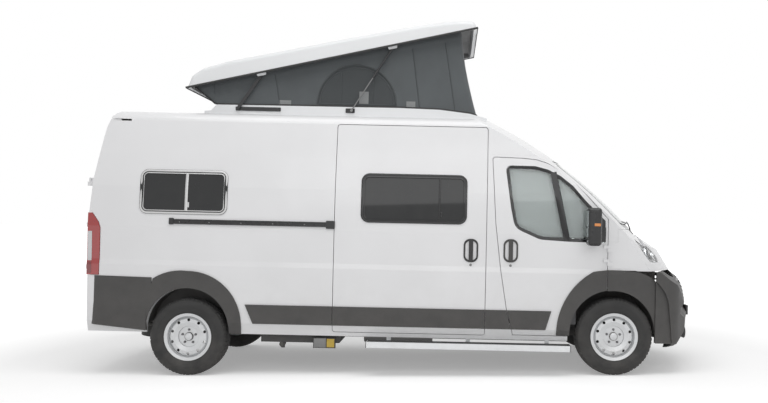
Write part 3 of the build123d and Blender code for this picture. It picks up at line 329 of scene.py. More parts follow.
def grime_group():
    """Road film that thickens towards the ground."""
    group, start, end = new_group("Road film", [("Colour", "c", (0.8, 0.8, 0.8, 1)),
                                                ("Film", "c", (0.2, 0.18, 0.16, 1)),
                                                ("Amount", "f", 0.3), ("Top", "f", 1.0)],
                                  [("Colour", "c"), ("Mask", "f")])
    place = add(group, "ShaderNodeTexCoord")
    split = add(group, "ShaderNodeSeparateXYZ")
    group.links.new(place.outputs["Object"], split.inputs[0])
    share = math(group, "DIVIDE", split.outputs["Z"], start.outputs["Top"])
    low = math(group, "SUBTRACT", 1.0, share, clamp=True)
    spots = noise(group, place.outputs["Object"], 6.0, 6.0, 0.62)
    spots = ramp_value(group, spots, 0.3, 0.75)
    mask = math(group, "MULTIPLY", math(group, "MULTIPLY", low, spots), start.outputs["Amount"], clamp=True)
    group.links.new(mask, end.inputs["Mask"])
    group.links.new(mix_colour(group, mask, start.outputs["Colour"], start.outputs["Film"]), end.inputs["Colour"])
    return group


def grain_group():
    """Moulded grain of textured plastic and rubber, as a height."""
    group, start, end = new_group("Moulded grain", [("Scale", "f", 900.0), ("Depth", "f", 0.5)], [("Height", "f")])
    place = add(group, "ShaderNodeTexCoord")
    cells = add(group, "ShaderNodeTexVoronoi", feature="SMOOTH_F1")
    group.links.new(place.outputs["Object"], cells.inputs["Vector"])
    group.links.new(start.outputs["Scale"], cells.inputs["Scale"])
    height = math(group, "MULTIPLY", cells.outputs["Distance"], start.outputs["Depth"])
    group.links.new(height, end.inputs["Height"])
    return group


def mottle_group():
    """Slow variation of a colour and of its gloss."""
    group, start, end = new_group("Mottle", [("Colour", "c", (0.5, 0.5, 0.5, 1)), ("Shade", "c", (0.4, 0.4, 0.4, 1)),
                                             ("Scale", "f", 4.0), ("Gloss low", "f", 0.3), ("Gloss high", "f", 0.4)],
                                  [("Colour", "c"), ("Roughness", "f")])
    place = add(group, "ShaderNodeTexCoord")
    clouds = add(group, "ShaderNodeTexNoise")
    clouds.inputs["Detail"].default_value = 5.0
    group.links.new(place.outputs["Object"], clouds.inputs["Vector"])
    group.links.new(start.outputs["Scale"], clouds.inputs["Scale"])
    fac = ramp_value(group, clouds.outputs["Fac"], 0.35, 0.68)
    group.links.new(mix_colour(group, fac, start.outputs["Colour"], start.outputs["Shade"]), end.inputs["Colour"])
    span = math(group, "SUBTRACT", start.outputs["Gloss high"], start.outputs["Gloss low"])
    gloss = math(group, "ADD", math(group, "MULTIPLY", span, fac), start.outputs["Gloss low"])
    group.links.new(gloss, end.inputs["Roughness"])
    return group


def weave_group():
    """Over-and-under weave of cloth: a height and a thread shade."""
    group, start, end = new_group("Weave", [("Threads", "f", 900.0), ("Depth", "f", 1.0)],
                                  [("Height", "f"), ("Shade", "f")])
    place = add(group, "ShaderNodeTexCoord")
    split = add(group, "ShaderNodeSeparateXYZ")
    group.links.new(place.outputs["Object"], split.inputs[0])
    level = math(group, "ADD", split.outputs["X"], split.outputs["Y"])
    warp = math(group, "SINE", math(group, "MULTIPLY", level, start.outputs["Threads"]))
    weft = math(group, "SINE", math(group, "MULTIPLY", split.outputs["Z"], start.outputs["Threads"]))
    cross = math(group, "MULTIPLY", warp, weft)
    height = math(group, "MULTIPLY", math(group, "ADD", cross, 1.0), start.outputs["Depth"])
    group.links.new(height, end.inputs["Height"])
    group.links.new(ramp_value(group, cross, -1.0, 1.0), end.inputs["Shade"])
    return group


def brushed_group():
    """Fine lines along the van, as on drawn or brushed metal."""
    group, start, end = new_group("Brushed lines", [("Depth", "f", 0.2), ("Gloss", "f", 0.3)],
                                  [("Height", "f"), ("Roughness", "f")])
    vector = scaled_place(group, (2.0, 400.0, 400.0))
    lines = noise(group, vector, 1.0, 4.0, 0.7)
    group.links.new(math(group, "MULTIPLY", lines, start.outputs["Depth"]), end.inputs["Height"])
    gloss = math(group, "ADD", math(group, "MULTIPLY", lines, 0.2), start.outputs["Gloss"])
    group.links.new(gloss, end.inputs["Roughness"])
    return group


GROUPS = {}


def group_node(tree, name, **values):
    node = tree.nodes.new("ShaderNodeGroup")
    node.node_tree = GROUPS[name]
    for key, value in values.items():
        label = key.replace("_", " ")
        socket = node.inputs[label]
        if isinstance(value, bpy.types.NodeSocket):
            tree.links.new(value, socket)
        else:
            socket.default_value = value
    return node


def shader(name, **constants):
    """A material with one Principled BSDF, its constants set on its own sockets."""
    mat = bpy.data.materials.new(name)
    mat.use_nodes = True
    bsdf = mat.node_tree.nodes["Principled BSDF"]
    for key, value in constants.items():
        bsdf.inputs[key.replace("_", " ")].default_value = value
    return mat, mat.node_tree, bsdf


def bump(tree, bsdf, height, strength, distance):
    node = add(tree, "ShaderNodeBump")
    node.inputs["Strength"].default_value = strength
    node.inputs["Distance"].default_value = distance
    tree.links.new(height, node.inputs["Height"])
    tree.links.new(node.outputs["Normal"], bsdf.inputs["Normal"])


def painted(name, colour, film=0.25, coat=0.6, gloss=0.32, metallic=0.0, top=1.1):
    """Painted or gel-coated panel: faint orange peel, road film low down."""
    mat, tree, bsdf = shader(name, Coat_Weight=coat, Coat_Roughness=0.06, Metallic=metallic)
    tint = group_node(tree, "Mottle", Colour=(*colour, 1), Shade=(*(c * 0.965 for c in colour), 1), Scale=1.7,
                      Gloss_low=gloss, Gloss_high=gloss + 0.08)
    film_node = group_node(tree, "Road film", Colour=tint.outputs["Colour"], Film=(0.42, 0.4, 0.37, 1), Amount=film,
                           Top=top)
    tree.links.new(film_node.outputs["Colour"], bsdf.inputs["Base Color"])
    rough = math(tree, "ADD", tint.outputs["Roughness"], math(tree, "MULTIPLY", film_node.outputs["Mask"], 0.5))
    tree.links.new(rough, bsdf.inputs["Roughness"])
    peel = noise(tree, scaled_place(tree, (1, 1, 1)), 260.0, 2.0)
    bump(tree, bsdf, peel, 0.05, 0.0006)
    return mat


def moulded(name, colour, light, grain=700.0, depth=0.5, gloss=(0.5, 0.66), film=0.4, top=1.0):
    """Textured black plastic, chalky where the sun and the road reach it."""
    mat, tree, bsdf = shader(name)
    tint = group_node(tree, "Mottle", Colour=(*colour, 1), Shade=(*light, 1), Scale=5.0, Gloss_low=gloss[0],
                      Gloss_high=gloss[1])
    film_node = group_node(tree, "Road film", Colour=tint.outputs["Colour"], Film=(0.16, 0.15, 0.14, 1), Amount=film,
                           Top=top)
    tree.links.new(film_node.outputs["Colour"], bsdf.inputs["Base Color"])
    tree.links.new(tint.outputs["Roughness"], bsdf.inputs["Roughness"])
    grain_node = group_node(tree, "Moulded grain", Scale=grain, Depth=1.0)
    bump(tree, bsdf, grain_node.outputs["Height"], depth, 0.0008)
    return mat


def metal(name, colour, gloss=0.3, depth=0.2, film=0.2, metallic=1.0, top=0.9):
    """Bare or plated metal with fine lines along it."""
    mat, tree, bsdf = shader(name, Metallic=metallic)
    lines = group_node(tree, "Brushed lines", Depth=1.0, Gloss=gloss)
    film_node = group_node(tree, "Road film", Colour=(*colour, 1), Film=(0.16, 0.14, 0.12, 1), Amount=film, Top=top)
    tree.links.new(film_node.outputs["Colour"], bsdf.inputs["Base Color"])
    tree.links.new(lines.outputs["Roughness"], bsdf.inputs["Roughness"])
    bump(tree, bsdf, lines.outputs["Height"], depth, 0.0004)
    return mat


def cloth(name, colour, shade, threads=1400.0, depth=0.5, sheen=0.2):
    """Woven cloth with a thread-by-thread shade and soft creases."""
    mat, tree, bsdf = shader(name, Sheen_Weight=sheen, Sheen_Roughness=0.5, Roughness=0.85)
    weave = group_node(tree, "Weave", Threads=threads, Depth=1.0)
    tint = group_node(tree, "Mottle", Colour=(*colour, 1), Shade=(*shade, 1), Scale=3.0, Gloss_low=0.8,
                      Gloss_high=0.92)
    darker = mix_colour(tree, weave.outputs["Shade"], tint.outputs["Colour"],
                        mix_colour(tree, 1.0, tint.outputs["Colour"], (0.78, 0.78, 0.78), "MULTIPLY"))
    tree.links.new(darker, bsdf.inputs["Base Color"])
    tree.links.new(tint.outputs["Roughness"], bsdf.inputs["Roughness"])
    bump(tree, bsdf, weave.outputs["Height"], depth, 0.0006)
    return mat


def rubber(name, colour, film=0.5):
    mat, tree, bsdf = shader(name)
    tint = group_node(tree, "Mottle", Colour=(*colour, 1), Shade=(*(c * 1.7 for c in colour), 1), Scale=9.0,
                      Gloss_low=0.6, Gloss_high=0.82)
    film_node = group_node(tree, "Road film", Colour=tint.outputs["Colour"], Film=(0.13, 0.12, 0.11, 1), Amount=film,
                           Top=0.8)
    tree.links.new(film_node.outputs["Colour"], bsdf.inputs["Base Color"])
    tree.links.new(tint.outputs["Roughness"], bsdf.inputs["Roughness"])
    grain_node = group_node(tree, "Moulded grain", Scale=500.0, Depth=1.0)
    bump(tree, bsdf, grain_node.outputs["Height"], 0.3, 0.0006)
    return mat


def glazing(name, colour, transmission, gloss=0.02, film=0.08):
    """Window glass with a faint film of dust low down."""
    mat, tree, bsdf = shader(name, Transmission_Weight=transmission, IOR=1.5, Metallic=0.0)
    film_node = group_node(tree, "Road film", Colour=(*colour, 1), Film=(0.3, 0.29, 0.27, 1), Amount=film, Top=2.2)
    tree.links.new(film_node.outputs["Colour"], bsdf.inputs["Base Color"])
    rough = math(tree, "ADD", math(tree, "MULTIPLY", film_node.outputs["Mask"], 0.4), gloss)
    tree.links.new(rough, bsdf.inputs["Roughness"])
    return mat


MATS = {}
NODE_FINISH = {"front_door_glass_right": "glass_cab", "front_door_glass_left": "glass_cab", "lift_arms": "satin_black",
               "lift_brackets": "satin_black", "strut_tubes": "satin_black", "strut_rods": "steel_dark",
               "roof_collar": "lid_shell"}


def make_materials(finish):
    for build in (grime_group, grain_group, mottle_group, weave_group, brushed_group):
        group = build()
        GROUPS[group.name] = group
    tent = tuple(finish.tent)
    MATS.update(
        body_paint=painted("White body paint", tuple(finish.paint), 0.22),
        lid_shell=painted("White moulded shell", tuple(finish.lid), 0.0, 0.25, 0.42),
        dark_plastic=moulded("Dark textured plastic", (0.052, 0.05, 0.049), (0.072, 0.07, 0.068), 650.0, 0.5),
        black_gloss=moulded("Black trim plastic", (0.014, 0.014, 0.015), (0.02, 0.02, 0.021), 1500.0, 0.1, (0.22, 0.34),
                            0.15),
        satin_black=moulded("Satin black", (0.018, 0.018, 0.019), (0.028, 0.028, 0.029), 1200.0, 0.2, (0.4, 0.5), 0.15),
        window_black=moulded("Baked black glass edge", (0.008, 0.008, 0.009), (0.012, 0.012, 0.013), 2000.0, 0.03,
                             (0.08, 0.14), 0.1),
        window_alloy=metal("Window frame alloy", (0.5, 0.5, 0.5), 0.34, 0.1, 0.1),
        seal_rubber=moulded("Seal rubber", (0.02, 0.02, 0.02), (0.03, 0.03, 0.03), 900.0, 0.2, (0.6, 0.72), 0.2),
        glass_tint=glazing("Dark glass", (0.012, 0.013, 0.014), 0.0, 0.03),
        glass_cab=glazing("Cab glass", (0.7, 0.74, 0.73), 1.0),
        glass_clear=glazing("Clear glass", (0.86, 0.9, 0.89), 1.0),
        lamp_clear=glazing("Lamp lens", (0.93, 0.94, 0.95), 1.0, 0.03),
        lamp_core=painted("Lamp glass inside", (0.7, 0.72, 0.74), 0.0, 1.0, 0.1, 0.3),
        lamp_frost=painted("Ribbed clear lens", (0.62, 0.62, 0.63), 0.1, 1.0, 0.12),
        lamp_red=painted("Red lamp lens", (0.36, 0.012, 0.012), 0.1, 1.0, 0.12),
        lamp_red_dark=painted("Reflector red", (0.2, 0.008, 0.01), 0.1, 1.0, 0.16),
        amber_lens=painted("Amber lens", (0.75, 0.24, 0.02), 0.1, 1.0, 0.14),
        mirror_glass=metal("Silvered glass", (0.82, 0.84, 0.86), 0.04, 0.0, 0.05),
        bolt_steel=metal("Plated bolts", (0.16, 0.16, 0.165), 0.32, 0.1, 0.2),
        plate_blank=painted("Blank plate", (0.72, 0.72, 0.72), 0.1, 0.1, 0.4),
        yellow_plastic=painted("Yellow plastic", (0.62, 0.42, 0.03), 0.3, 0.0, 0.45),
        tent_cloth=cloth("Grey tent cloth", tent, tuple(c * 1.25 for c in tent)),
        insect_mesh=cloth("Insect mesh", tuple(c * 0.62 for c in tent), tuple(c * 0.75 for c in tent), 2600.0, 0.8),
        binding=cloth("Seam tape", tuple(c * 0.75 for c in tent), tuple(c * 0.9 for c in tent), 1900.0, 0.6),
        webbing=cloth("Black webbing", (0.016, 0.016, 0.017), (0.025, 0.025, 0.026), 1700.0, 0.8),
        # Pale cloth of the tent's tabs: its light colour is a painted highlight.
        pale_webbing=cloth("Pale highlight cloth", (0.24, 0.25, 0.25), (0.3, 0.31, 0.31), 1500.0),
        headliner=cloth("Lid lining", (0.3, 0.3, 0.3), (0.36, 0.36, 0.36), 700.0),
        blind_cloth=cloth("Pleated blind", (0.2, 0.2, 0.205), (0.24, 0.24, 0.245), 800.0),
        belt_webbing=cloth("Belt webbing", (0.02, 0.02, 0.021), (0.03, 0.03, 0.031), 1500.0, 0.7),
        seat_cloth=cloth("Seat cloth", (0.075, 0.075, 0.08), (0.11, 0.11, 0.115), 900.0),
        bedding=cloth("Mattress ticking", (0.42, 0.42, 0.42), (0.5, 0.5, 0.5), 800.0),
        tyre_rubber=rubber("Tyre rubber", (0.018, 0.018, 0.018)),
        wheel_silver=painted("Silver wheel paint", (0.62, 0.63, 0.64), 0.25, 0.3, 0.3, 0.6, 0.8),
        aluminium_bare=metal("Bare aluminium", (0.66, 0.67, 0.68), 0.3, 0.25),
        steel_dark=metal("Dark steel", (0.2, 0.2, 0.2), 0.35, 0.15),
        chassis_black=painted("Chassis paint", (0.025, 0.025, 0.025), 0.5, 0.0, 0.5),
        cast_grey=metal("Cast iron", (0.2, 0.19, 0.18), 0.5, 0.5, 0.4, 0.7),
        tank_plastic=moulded("Tank plastic", (0.03, 0.03, 0.03), (0.05, 0.05, 0.05), 300.0, 0.4),
        dash_plastic=moulded("Dashboard plastic", (0.05, 0.05, 0.052), (0.075, 0.075, 0.078), 800.0, 0.4, (0.5, 0.6),
                             0.0),
        pale_laminate=painted("Pale worktop", (0.6, 0.59, 0.57), 0.0, 0.3, 0.3),
        furniture_wood=painted("Furniture laminate", (0.5, 0.4, 0.3), 0.0, 0.2, 0.4),
    )


def dress(node, finish):
    """Gives a solid of the frame its finish."""
    mesh = frame["nodes"][node].data
    mesh.materials.clear()
    mesh.materials.append(MATS[finish])


# ---------------------------------------------------------------- pop-top roof
LID_TIP = (-2130.0, 2676.0)
LID_TILT = radians(12.8)
LID_LENGTH = 2906.0
LID_HALF = 735.0
POCKET = ((40, -10), (110, 100), (220, 128), (480, 142), (1600, 127), (2400, 109), (2690, 84), (2860, 50), (2872, -10))
POCKET_HALF = 703.0
COLLAR_LINE = ((-1854, 2530), (-44, 2534), (352, 2525), (649, 2492), (818, 2450))
TENT_HALF = 644.0
TENT_FRONT = (718.0, 548.0)
TENT_REAR = (-1860.0, -1900.0, -2072.0)
HEM_UP = 40.0


def lid_point(u, w, y=0.0):
    """A point of the raised lid, u along it from its rear tip and w above its rim."""
    return Vector((LID_TIP[0] + u * cos(LID_TILT) - w * sin(LID_TILT), y,
                   LID_TIP[1] + u * sin(LID_TILT) + w * cos(LID_TILT)))


def under_lid(x, w):
    """The height of a line w above the raised rim, at x."""
    return LID_TIP[1] + (x - LID_TIP[0]) * sin(LID_TILT) / cos(LID_TILT) + w / cos(LID_TILT)


def collar_top(x):
    for (xa, za), (xb, zb) in zip(COLLAR_LINE, COLLAR_LINE[1:]):
        if x <= xb:
            return za + (zb - za) * (x - xa) / (xb - xa)
    return COLLAR_LINE[-1][1]


def tent_columns(corner=70.0):
    """Foot, top and outward way of each upright of the canvas, from the right rear corner round to the left one."""
    columns = []
    side_steps, corner_steps, front_steps = 84, 7, 36
    foot_reach = TENT_FRONT[0] - corner - TENT_REAR[0]
    top_reach = TENT_FRONT[1] - corner - TENT_REAR[1]
    along_side = []
    for step in range(side_steps):
        share = step / side_steps
        along_side.append((TENT_REAR[0] + foot_reach * share, TENT_REAR[1] + top_reach * share))
    for foot_x, top_x in along_side:
        columns.append((foot_x, top_x, -TENT_HALF, Vector((0, -1, 0))))
    middle = (TENT_FRONT[0] - corner, TENT_FRONT[1] - corner)
    for step in range(corner_steps):
        angle = radians(90 * (step / corner_steps - 1))
        columns.append((middle[0] + corner * cos(angle), middle[1] + corner * cos(angle),
                        -TENT_HALF + corner + corner * sin(angle), Vector((cos(angle), sin(angle), 0))))
    inner = TENT_HALF - corner
    for step in range(front_steps // 2):
        columns.append((*TENT_FRONT, -inner + inner * step / (front_steps // 2), Vector((1, 0, 0))))
    other = [(foot_x, top_x, -y, Vector((way.x, -way.y, 0))) for foot_x, top_x, y, way in reversed(columns)]
    return columns + [(*TENT_FRONT, 0.0, Vector((1, 0, 0)))] + other


def folds(distance, height, depth):
    """How far the canvas stands out or in from taut: slack waves, and pulls from its lower corners."""
    slack = 0.55 * sin(distance / 74 + 2.4 * height) + 0.45 * sin(distance / 41 - 3.6 * height + 1.3)
    slack += 0.35 * sin(distance / 23 + 7.0 * height)
    pull = sum(sin((distance - corner) / 19 + 6 * height) * 2.718 ** (-((distance - corner) / 190) ** 2)
               for corner in (0, 2510, 3900, 6400))
    return depth * (slack + 0.9 * pull) * sin(pi * min(1.0, height)) ** 0.7


def canvas(columns, rows, depth):
    """The points of the tent's walls: each upright sags inward between the collar and the lid."""
    sheet = []
    for row in range(rows + 1):
        height = row / rows
        line, distance, last = [], 0.0, None
        for foot_x, top_x, y, way in columns:
            foot = Vector((foot_x, y, collar_top(foot_x) + 1))
            top = Vector((top_x, y, under_lid(top_x, HEM_UP)))
            if last is not None:
                distance += (foot - last).length
            last = foot
            tall = (top - foot).length
            inward = (11 + 9 * abs(way.x)) * (tall / 700) * 4 * height * (1 - height)
            point = foot.lerp(top, height) - way * inward
            line.append(point + way * folds(distance, height, depth))
        sheet.append(line)
    return sheet


def soft_on_roof(obj):
    """Gives a piece of the tent a mesh of its own."""
    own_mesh(obj)
    return obj


class CAMPER_OT_tent(bpy.types.Operator):
    """Canvas walls of the pop-top, with their windows, tabs and webbing"""
    bl_idname = "camper.tent"
    bl_label = "Roof tent"

    def execute(self, context):
        finish = context.scene.camper_finish
        columns = tent_columns()
        bm = bmesh.new()
        grid(bm, canvas(columns, 20, finish.canvas_folds * 1000))
        thicken(bm, 1.6)
        mesh = finish_mesh("tent_walls", bm)
        walls = BVHTree.FromPolygons([level_point(vertex.co) for vertex in mesh.vertices],
                                     [polygon.vertices for polygon in mesh.polygons])
        tent = piece("tent_walls", mesh, "van_body", "tent_cloth", smooth=60)
        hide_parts("tent")
        soft_on_roof(tent)
        self.rear_wall()
        for side, name in SIDES:
            self.window(walls, side, name)
            self.tabs(walls, side, name)
        self.foot_strip(columns)
        return {"FINISHED"}

    def rear_wall(self):
        """The sloping rear wall and the gussets between it and the side walls."""
        half = TENT_HALF
        rear_foot = Vector((TENT_REAR[0], 0, 2533))
        rear_top = Vector((TENT_REAR[2], 0, under_lid(TENT_REAR[2], 14)))
        side_top = Vector((TENT_REAR[1], 0, under_lid(TENT_REAR[1], HEM_UP)))
        bm = bmesh.new()
        rows = []
        for row in range(9):
            height = row / 8
            edge, back = rear_foot.lerp(side_top, height), rear_foot.lerp(rear_top, height)
            line = []
            for step in range(5):
                line.append(edge.lerp(back, step / 5) + Vector((0, -half + 1, 0)))
            for step in range(33):
                y = -half + 2 * half * step / 32
                sag = 14 * (1 - (y / half) ** 2) * sin(pi * height)
                line.append(back + Vector((sag + folds(y + 700, height, 1.5), y, sag * 0.6)))
            for step in range(4, -1, -1):
                line.append(edge.lerp(back, step / 5) + Vector((0, half - 1, 0)))
            rows.append(line)
        grid(bm, rows)
        thicken(bm, 1.6)
        wall = piece("tent_rear_wall", bm, "van_body", "tent_cloth", smooth=60)
        soft_on_roof(wall)
        for side, name in SIDES:
            bm = bmesh.new()
            strap = [rear_foot.lerp(rear_top, step / 6) + Vector((-6, side * (half + 2), 4)) for step in range(7)]
            tube(bm, strap, 13, sides=8, flat=0.35)
            rear_edge = piece(f"tent_rear_edge_{name}", bm, "van_body", "black_gloss", "webbing", smooth=60)
            soft_on_roof(rear_edge)

    def window(self, walls, side, name):
        """D-shaped mesh window with a bound edge and a zip inside it."""
        middle, base, radius = -471.0, 2560.0, 392.0

        def on_wall(x, z, out):
            hit, _, _, _ = walls.ray_cast(Vector((x, side * 900, z)), Vector((0, -side, 0)))
            return Vector((x, hit.y + side * out, z))

        def arc(reach, out, steps=40):
            return [on_wall(middle + reach * cos(pi * step / steps), base + reach * sin(pi * step / steps), out)
                    for step in range(steps + 1)]

        bm = bmesh.new()
        grid(bm, [arc(max(1.0, radius * ring / 10), 1.2) for ring in range(11)])
        thicken(bm, 0.8)
        screen = piece(f"tent_window_{name}", bm, "van_body", "tent_cloth", "insect_mesh", smooth=60)
        bm = bmesh.new()
        edge = arc(radius, 2.0)
        base_line = [on_wall(middle - radius + 2 * radius * step / 20, base, 2.0) for step in range(1, 20)]
        tube(bm, edge + base_line, 9, sides=8, flat=0.4, closed=True)
        tube(bm, arc(radius - 26, 2.0), 3.5, sides=6)
        for step in (6, 14):
            x = middle - radius + 2 * radius * step / 20
            reach = sqrt(radius ** 2 - (x - middle) ** 2) - 40
            tube(bm, [on_wall(x, base + reach * share / 6, 2.0) for share in range(7)], 6, sides=6, flat=0.4)
        soft_on_roof(screen)
        soft_on_roof(piece(f"tent_window_binding_{name}", bm, "van_body", "tent_cloth", "binding", smooth=60))

    def tabs(self, walls, side, name):
        """Pale tabs by the foot of the window, their light cloth a painted highlight, and the seam tapes of the walls.
        """
        places = ((-402, 2628, 46, 62), (63, 2572, 44, 30), (-1180, 2566, 60, 22))
        # The tabs' pale cloth paints the light reflected low on the canvas.
        bm = bmesh.new()
        for x, z, half_x, half_z in places:
            rows = []
            for row in range(5):
                level = z - half_z + 2 * half_z * row / 4
                line = []
                for step in range(5):
                    at = x - half_x + 2 * half_x * step / 4
                    hit, _, _, _ = walls.ray_cast(Vector((at, side * 900, level)), Vector((0, -side, 0)))
                    bulge = 5 * (1 - ((step - 2) / 2) ** 2) * (1 - ((row - 2) / 2) ** 2)
                    line.append(Vector((at, hit.y + side * (3 + bulge), level)))
                rows.append(line)
            grid(bm, rows)
        thicken(bm, 1.5)
        soft_on_roof(piece(f"tent_highlight_tabs_{name}", bm, "van_body", "tent_cloth", "pale_webbing", smooth=60))
        bm = bmesh.new()
        for foot_x, top_x in ((-1230, -1290), (150, 60), (500, 380)):
            line = []
            for step in range(13):
                share = 0.02 + 0.9 * step / 12
                x = foot_x + (top_x - foot_x) * share
                z = collar_top(foot_x) + (under_lid(top_x, 0) - collar_top(foot_x)) * share
                hit, _, _, _ = walls.ray_cast(Vector((x, side * 900, z)), Vector((0, -side, 0)))
                if hit is not None:
                    line.append(Vector((x, hit.y + side * 1.5, z)))
            tube(bm, line, 7, sides=6, flat=0.3)
        soft_on_roof(piece(f"tent_seams_{name}", bm, "van_body", "tent_cloth", "binding", smooth=60))

    def foot_strip(self, columns):
        """Alloy strip that clamps the canvas to the collar."""
        bm = bmesh.new()
        rows = [[], [], [], []]
        for foot_x, _, y, way in columns:
            base = Vector((foot_x, y, collar_top(foot_x))) + way * 2
            for row, (out, up) in zip(rows, ((0, 0), (3.5, 1), (3.5, 15), (0, 16))):
                row.append(base + way * out + Vector((0, 0, up)))
        grid(bm, rows)
        thicken(bm, 1.0)
        piece("tent_foot_strip", bm, "van_body", "steel_dark", "satin_black")


class CAMPER_OT_lid_trim(bpy.types.Operator):
    """Headliner, ribs and edge seal of the pop-top's lid"""
    bl_idname = "camper.lid_trim"
    bl_label = "Lid trim"

    def execute(self, context):
        bm = bmesh.new()
        rows, half = [], POCKET_HALF - 2
        for u in (42, 60, 110, 220, 480, 760, 1040, 1320, 1600, 1900, 2200, 2400, 2690, 2800, 2858):
            rows.append([lid_point(u, 4, -half)] + [lid_point(u, pocket_height(u) - 3 - 6 * (1 - (step / 12 - 1) ** 2),
                                                              half * (step / 12 - 1)) for step in range(25)]
                        + [lid_point(u, 4, half)])
        grid(bm, rows)
        thicken(bm, 1.5)
        piece("lid_headliner", bm, "lid", "tent_cloth", "headliner", smooth=50)
        bm = bmesh.new()
        section = ((-0.6, -7), (4, -7), (6, -3), (6, 8), (4, 12), (-0.6, 12))
        rings = []
        for u, y, way_u, way_y in ((0, -1, -1, -1), (LID_LENGTH, -1, 1, -1), (LID_LENGTH, 1, 1, 1), (0, 1, -1, 1)):
            rings.append([bm.verts.new(lid_point(u + way_u * out, up, y * LID_HALF + way_y * out))
                          for out, up in section])
        for a, b in zip(rings, rings[1:] + rings[:1]):
            for step in range(len(section)):
                after = (step + 1) % len(section)
                bm.faces.new((a[step], b[step], b[after], a[after]))
        piece("lid_edge_seal", bm, "lid", "black_gloss", "seal_rubber")
        bm = bmesh.new()
        tilt = Matrix.Rotation(-LID_TILT, 4, "Y")
        for u in (620, 1240, 1860, 2480):
            spot = lid_point(u, pocket_height(u) - 14)
            slab(bm, spot.x - 16, spot.x + 16, -600, 600, spot.z - 5, spot.z + 5, 3, tilt)
        piece("lid_ribs", bm, "lid", "tent_cloth", "satin_black")
        return {"FINISHED"}


def pocket_height(u):
    for (ua, wa), (ub, wb) in zip(POCKET, POCKET[1:]):
        if u <= ub:
            return wa + (wb - wa) * (u - ua) / (ub - ua)
    return POCKET[-1][1]


# ---------------------------------------------------------------- side windows and body side
WINDOWS = {  # x0, x1, z0, z1, corner radius, as the solids have them
    "slider": (-372, 634, 1398, 1867, 78),
    "quarter": (-2467, -1638, 1439, 1860, 72),
    "galley": (-250, 520, 1439, 1860, 72),
}


def bead(bm, loop, skin, section, closed=True):
    """A moulding that follows a loop (x, z) on a skin; section is (sideways, outward) in millimetres."""
    count = len(loop)
    rings = []
    for number, (x, z) in enumerate(loop):
        before = loop[number - 1] if number or closed else loop[number]
        after = loop[(number + 1) % count] if number + 1 < count or closed else loop[number]
        way = Vector((after[0] - before[0], after[1] - before[1]))
        normal = Vector((way.y, -way.x)).normalized()
        ring = []
        for sideways, outward in section:
            ring.append(bm.verts.new(skin(x + normal.x * sideways, z + normal.y * sideways, outward)))
        rings.append(ring)
    for number in range(count if closed else count - 1):
        a, b = rings[number], rings[(number + 1) % count]
        for step in range(len(section)):
            after = (step + 1) % len(section)
            bm.faces.new((a[step], a[after], b[after], b[step]))
    if not closed:
        bm.faces.new(list(reversed(rings[0])))
        bm.faces.new(rings[-1])


HALF_SECTION = ((315, 968), (420, 1003), (600, 1012), (955, 1014), (1003, 1006), (1315, 1009), (1700, 983),
                (2008, 938), (2331, 883))


def half_width(z):
    for (za, wa), (zb, wb) in zip(HALF_SECTION, HALF_SECTION[1:]):
        if z <= zb:
            return wa + (wb - wa) * (z - za) / (zb - za)
    return HALF_SECTION[-1][1]


def flank(side):
    """The straight part of a side's skin, as a function of x, z and how far out."""
    return lambda x, z, out: Vector((x, side * (half_width(z) + out), z))


FRAME_SECTION = ((-9, 5.5), (-8, 8.5), (-3, 10), (5, 9.5), (9, 7), (9, 5.5))


class CAMPER_OT_side_windows(bpy.types.Operator):
    """Frames, dividers, catches and blinds of the living-space windows"""
    bl_idname = "camper.side_windows"
    bl_label = "Side windows"

    def execute(self, context):
        fittings = (("slider", -1, "window_black"), ("quarter", -1, "window_alloy"), ("quarter", 1, "window_alloy"),
                    ("galley", 1, "window_black"))
        for window, side, finish in fittings:
            name = dict(SIDES)[side]
            x0, x1, z0, z1, radius = WINDOWS[window]
            skin = flank(side)
            bm = bmesh.new()
            bead(bm, round_rectangle(x0 + 11, x1 - 11, z0 + 11, z1 - 11, radius - 11), skin, FRAME_SECTION)
            bead(bm, round_rectangle(x0 + 33, x1 - 33, z0 + 33, z1 - 33, radius - 33), skin,
                 ((-4, -5), (-4, 7), (0, 8), (4, 6), (4, -5)))
            piece(f"window_frame_{window}_{name}", bm, "van_body", "black_gloss", finish)
            self.divider(window, name, skin, (x0, x1, z0, z1))
            self.blind(window, name, side, (x0, x1, z0, z1))
        return {"FINISHED"}

    def divider(self, window, name, skin, spec):
        """The meeting rail of a sliding pane, with its catch."""
        x0, x1, z0, z1 = spec
        middle = x0 + 0.53 * (x1 - x0) if window == "quarter" else x0 + 0.74 * (x1 - x0)
        bm = bmesh.new()
        line = [(middle, z0 + 32 + (z1 - z0 - 64) * step / 10) for step in range(11)]
        wide = 13 if window == "quarter" else 9
        bead(bm, line, skin, ((-wide, -4), (-wide, 1), (-wide + 3, 3), (wide - 3, 3), (wide, 1), (wide, -4)),
             closed=False)
        catch = skin(middle + wide + 9, z0 + 90, 0)
        slab(bm, catch.x - 8, catch.x + 8, catch.y - 6, catch.y + 2, catch.z - 24, catch.z + 24, 2)
        piece(f"window_rail_{window}_{name}", bm, "van_body", "black_gloss",
              "window_alloy" if window == "quarter" else "window_black")

    def blind(self, window, name, side, spec):
        """Pleated blind behind the glass, drawn part of the way."""
        x0, x1, z0, z1 = spec
        rows = []
        width = (x1 - x0 - 80) * (0.32 if window == "slider" else 1.0)
        steps = 2 * round(width / 22)
        for row in range(9):
            z = z0 + 40 + (z1 - z0 - 80) * row / 8
            line = []
            for step in range(steps + 1):
                depth = 34 + (9 if step % 2 else 0) + 2.5 * sin(step * 1.7 + row * 0.8)
                line.append(Vector((x1 - 40 - width * step / steps, side * (half_width(z) - depth), z)))
            rows.append(line)
        bm = bmesh.new()
        grid(bm, rows)
        thicken(bm, 1.2)
        blind = piece(f"window_blind_{window}_{name}", bm, "van_body", "seat_cloth", "blind_cloth", smooth=20)


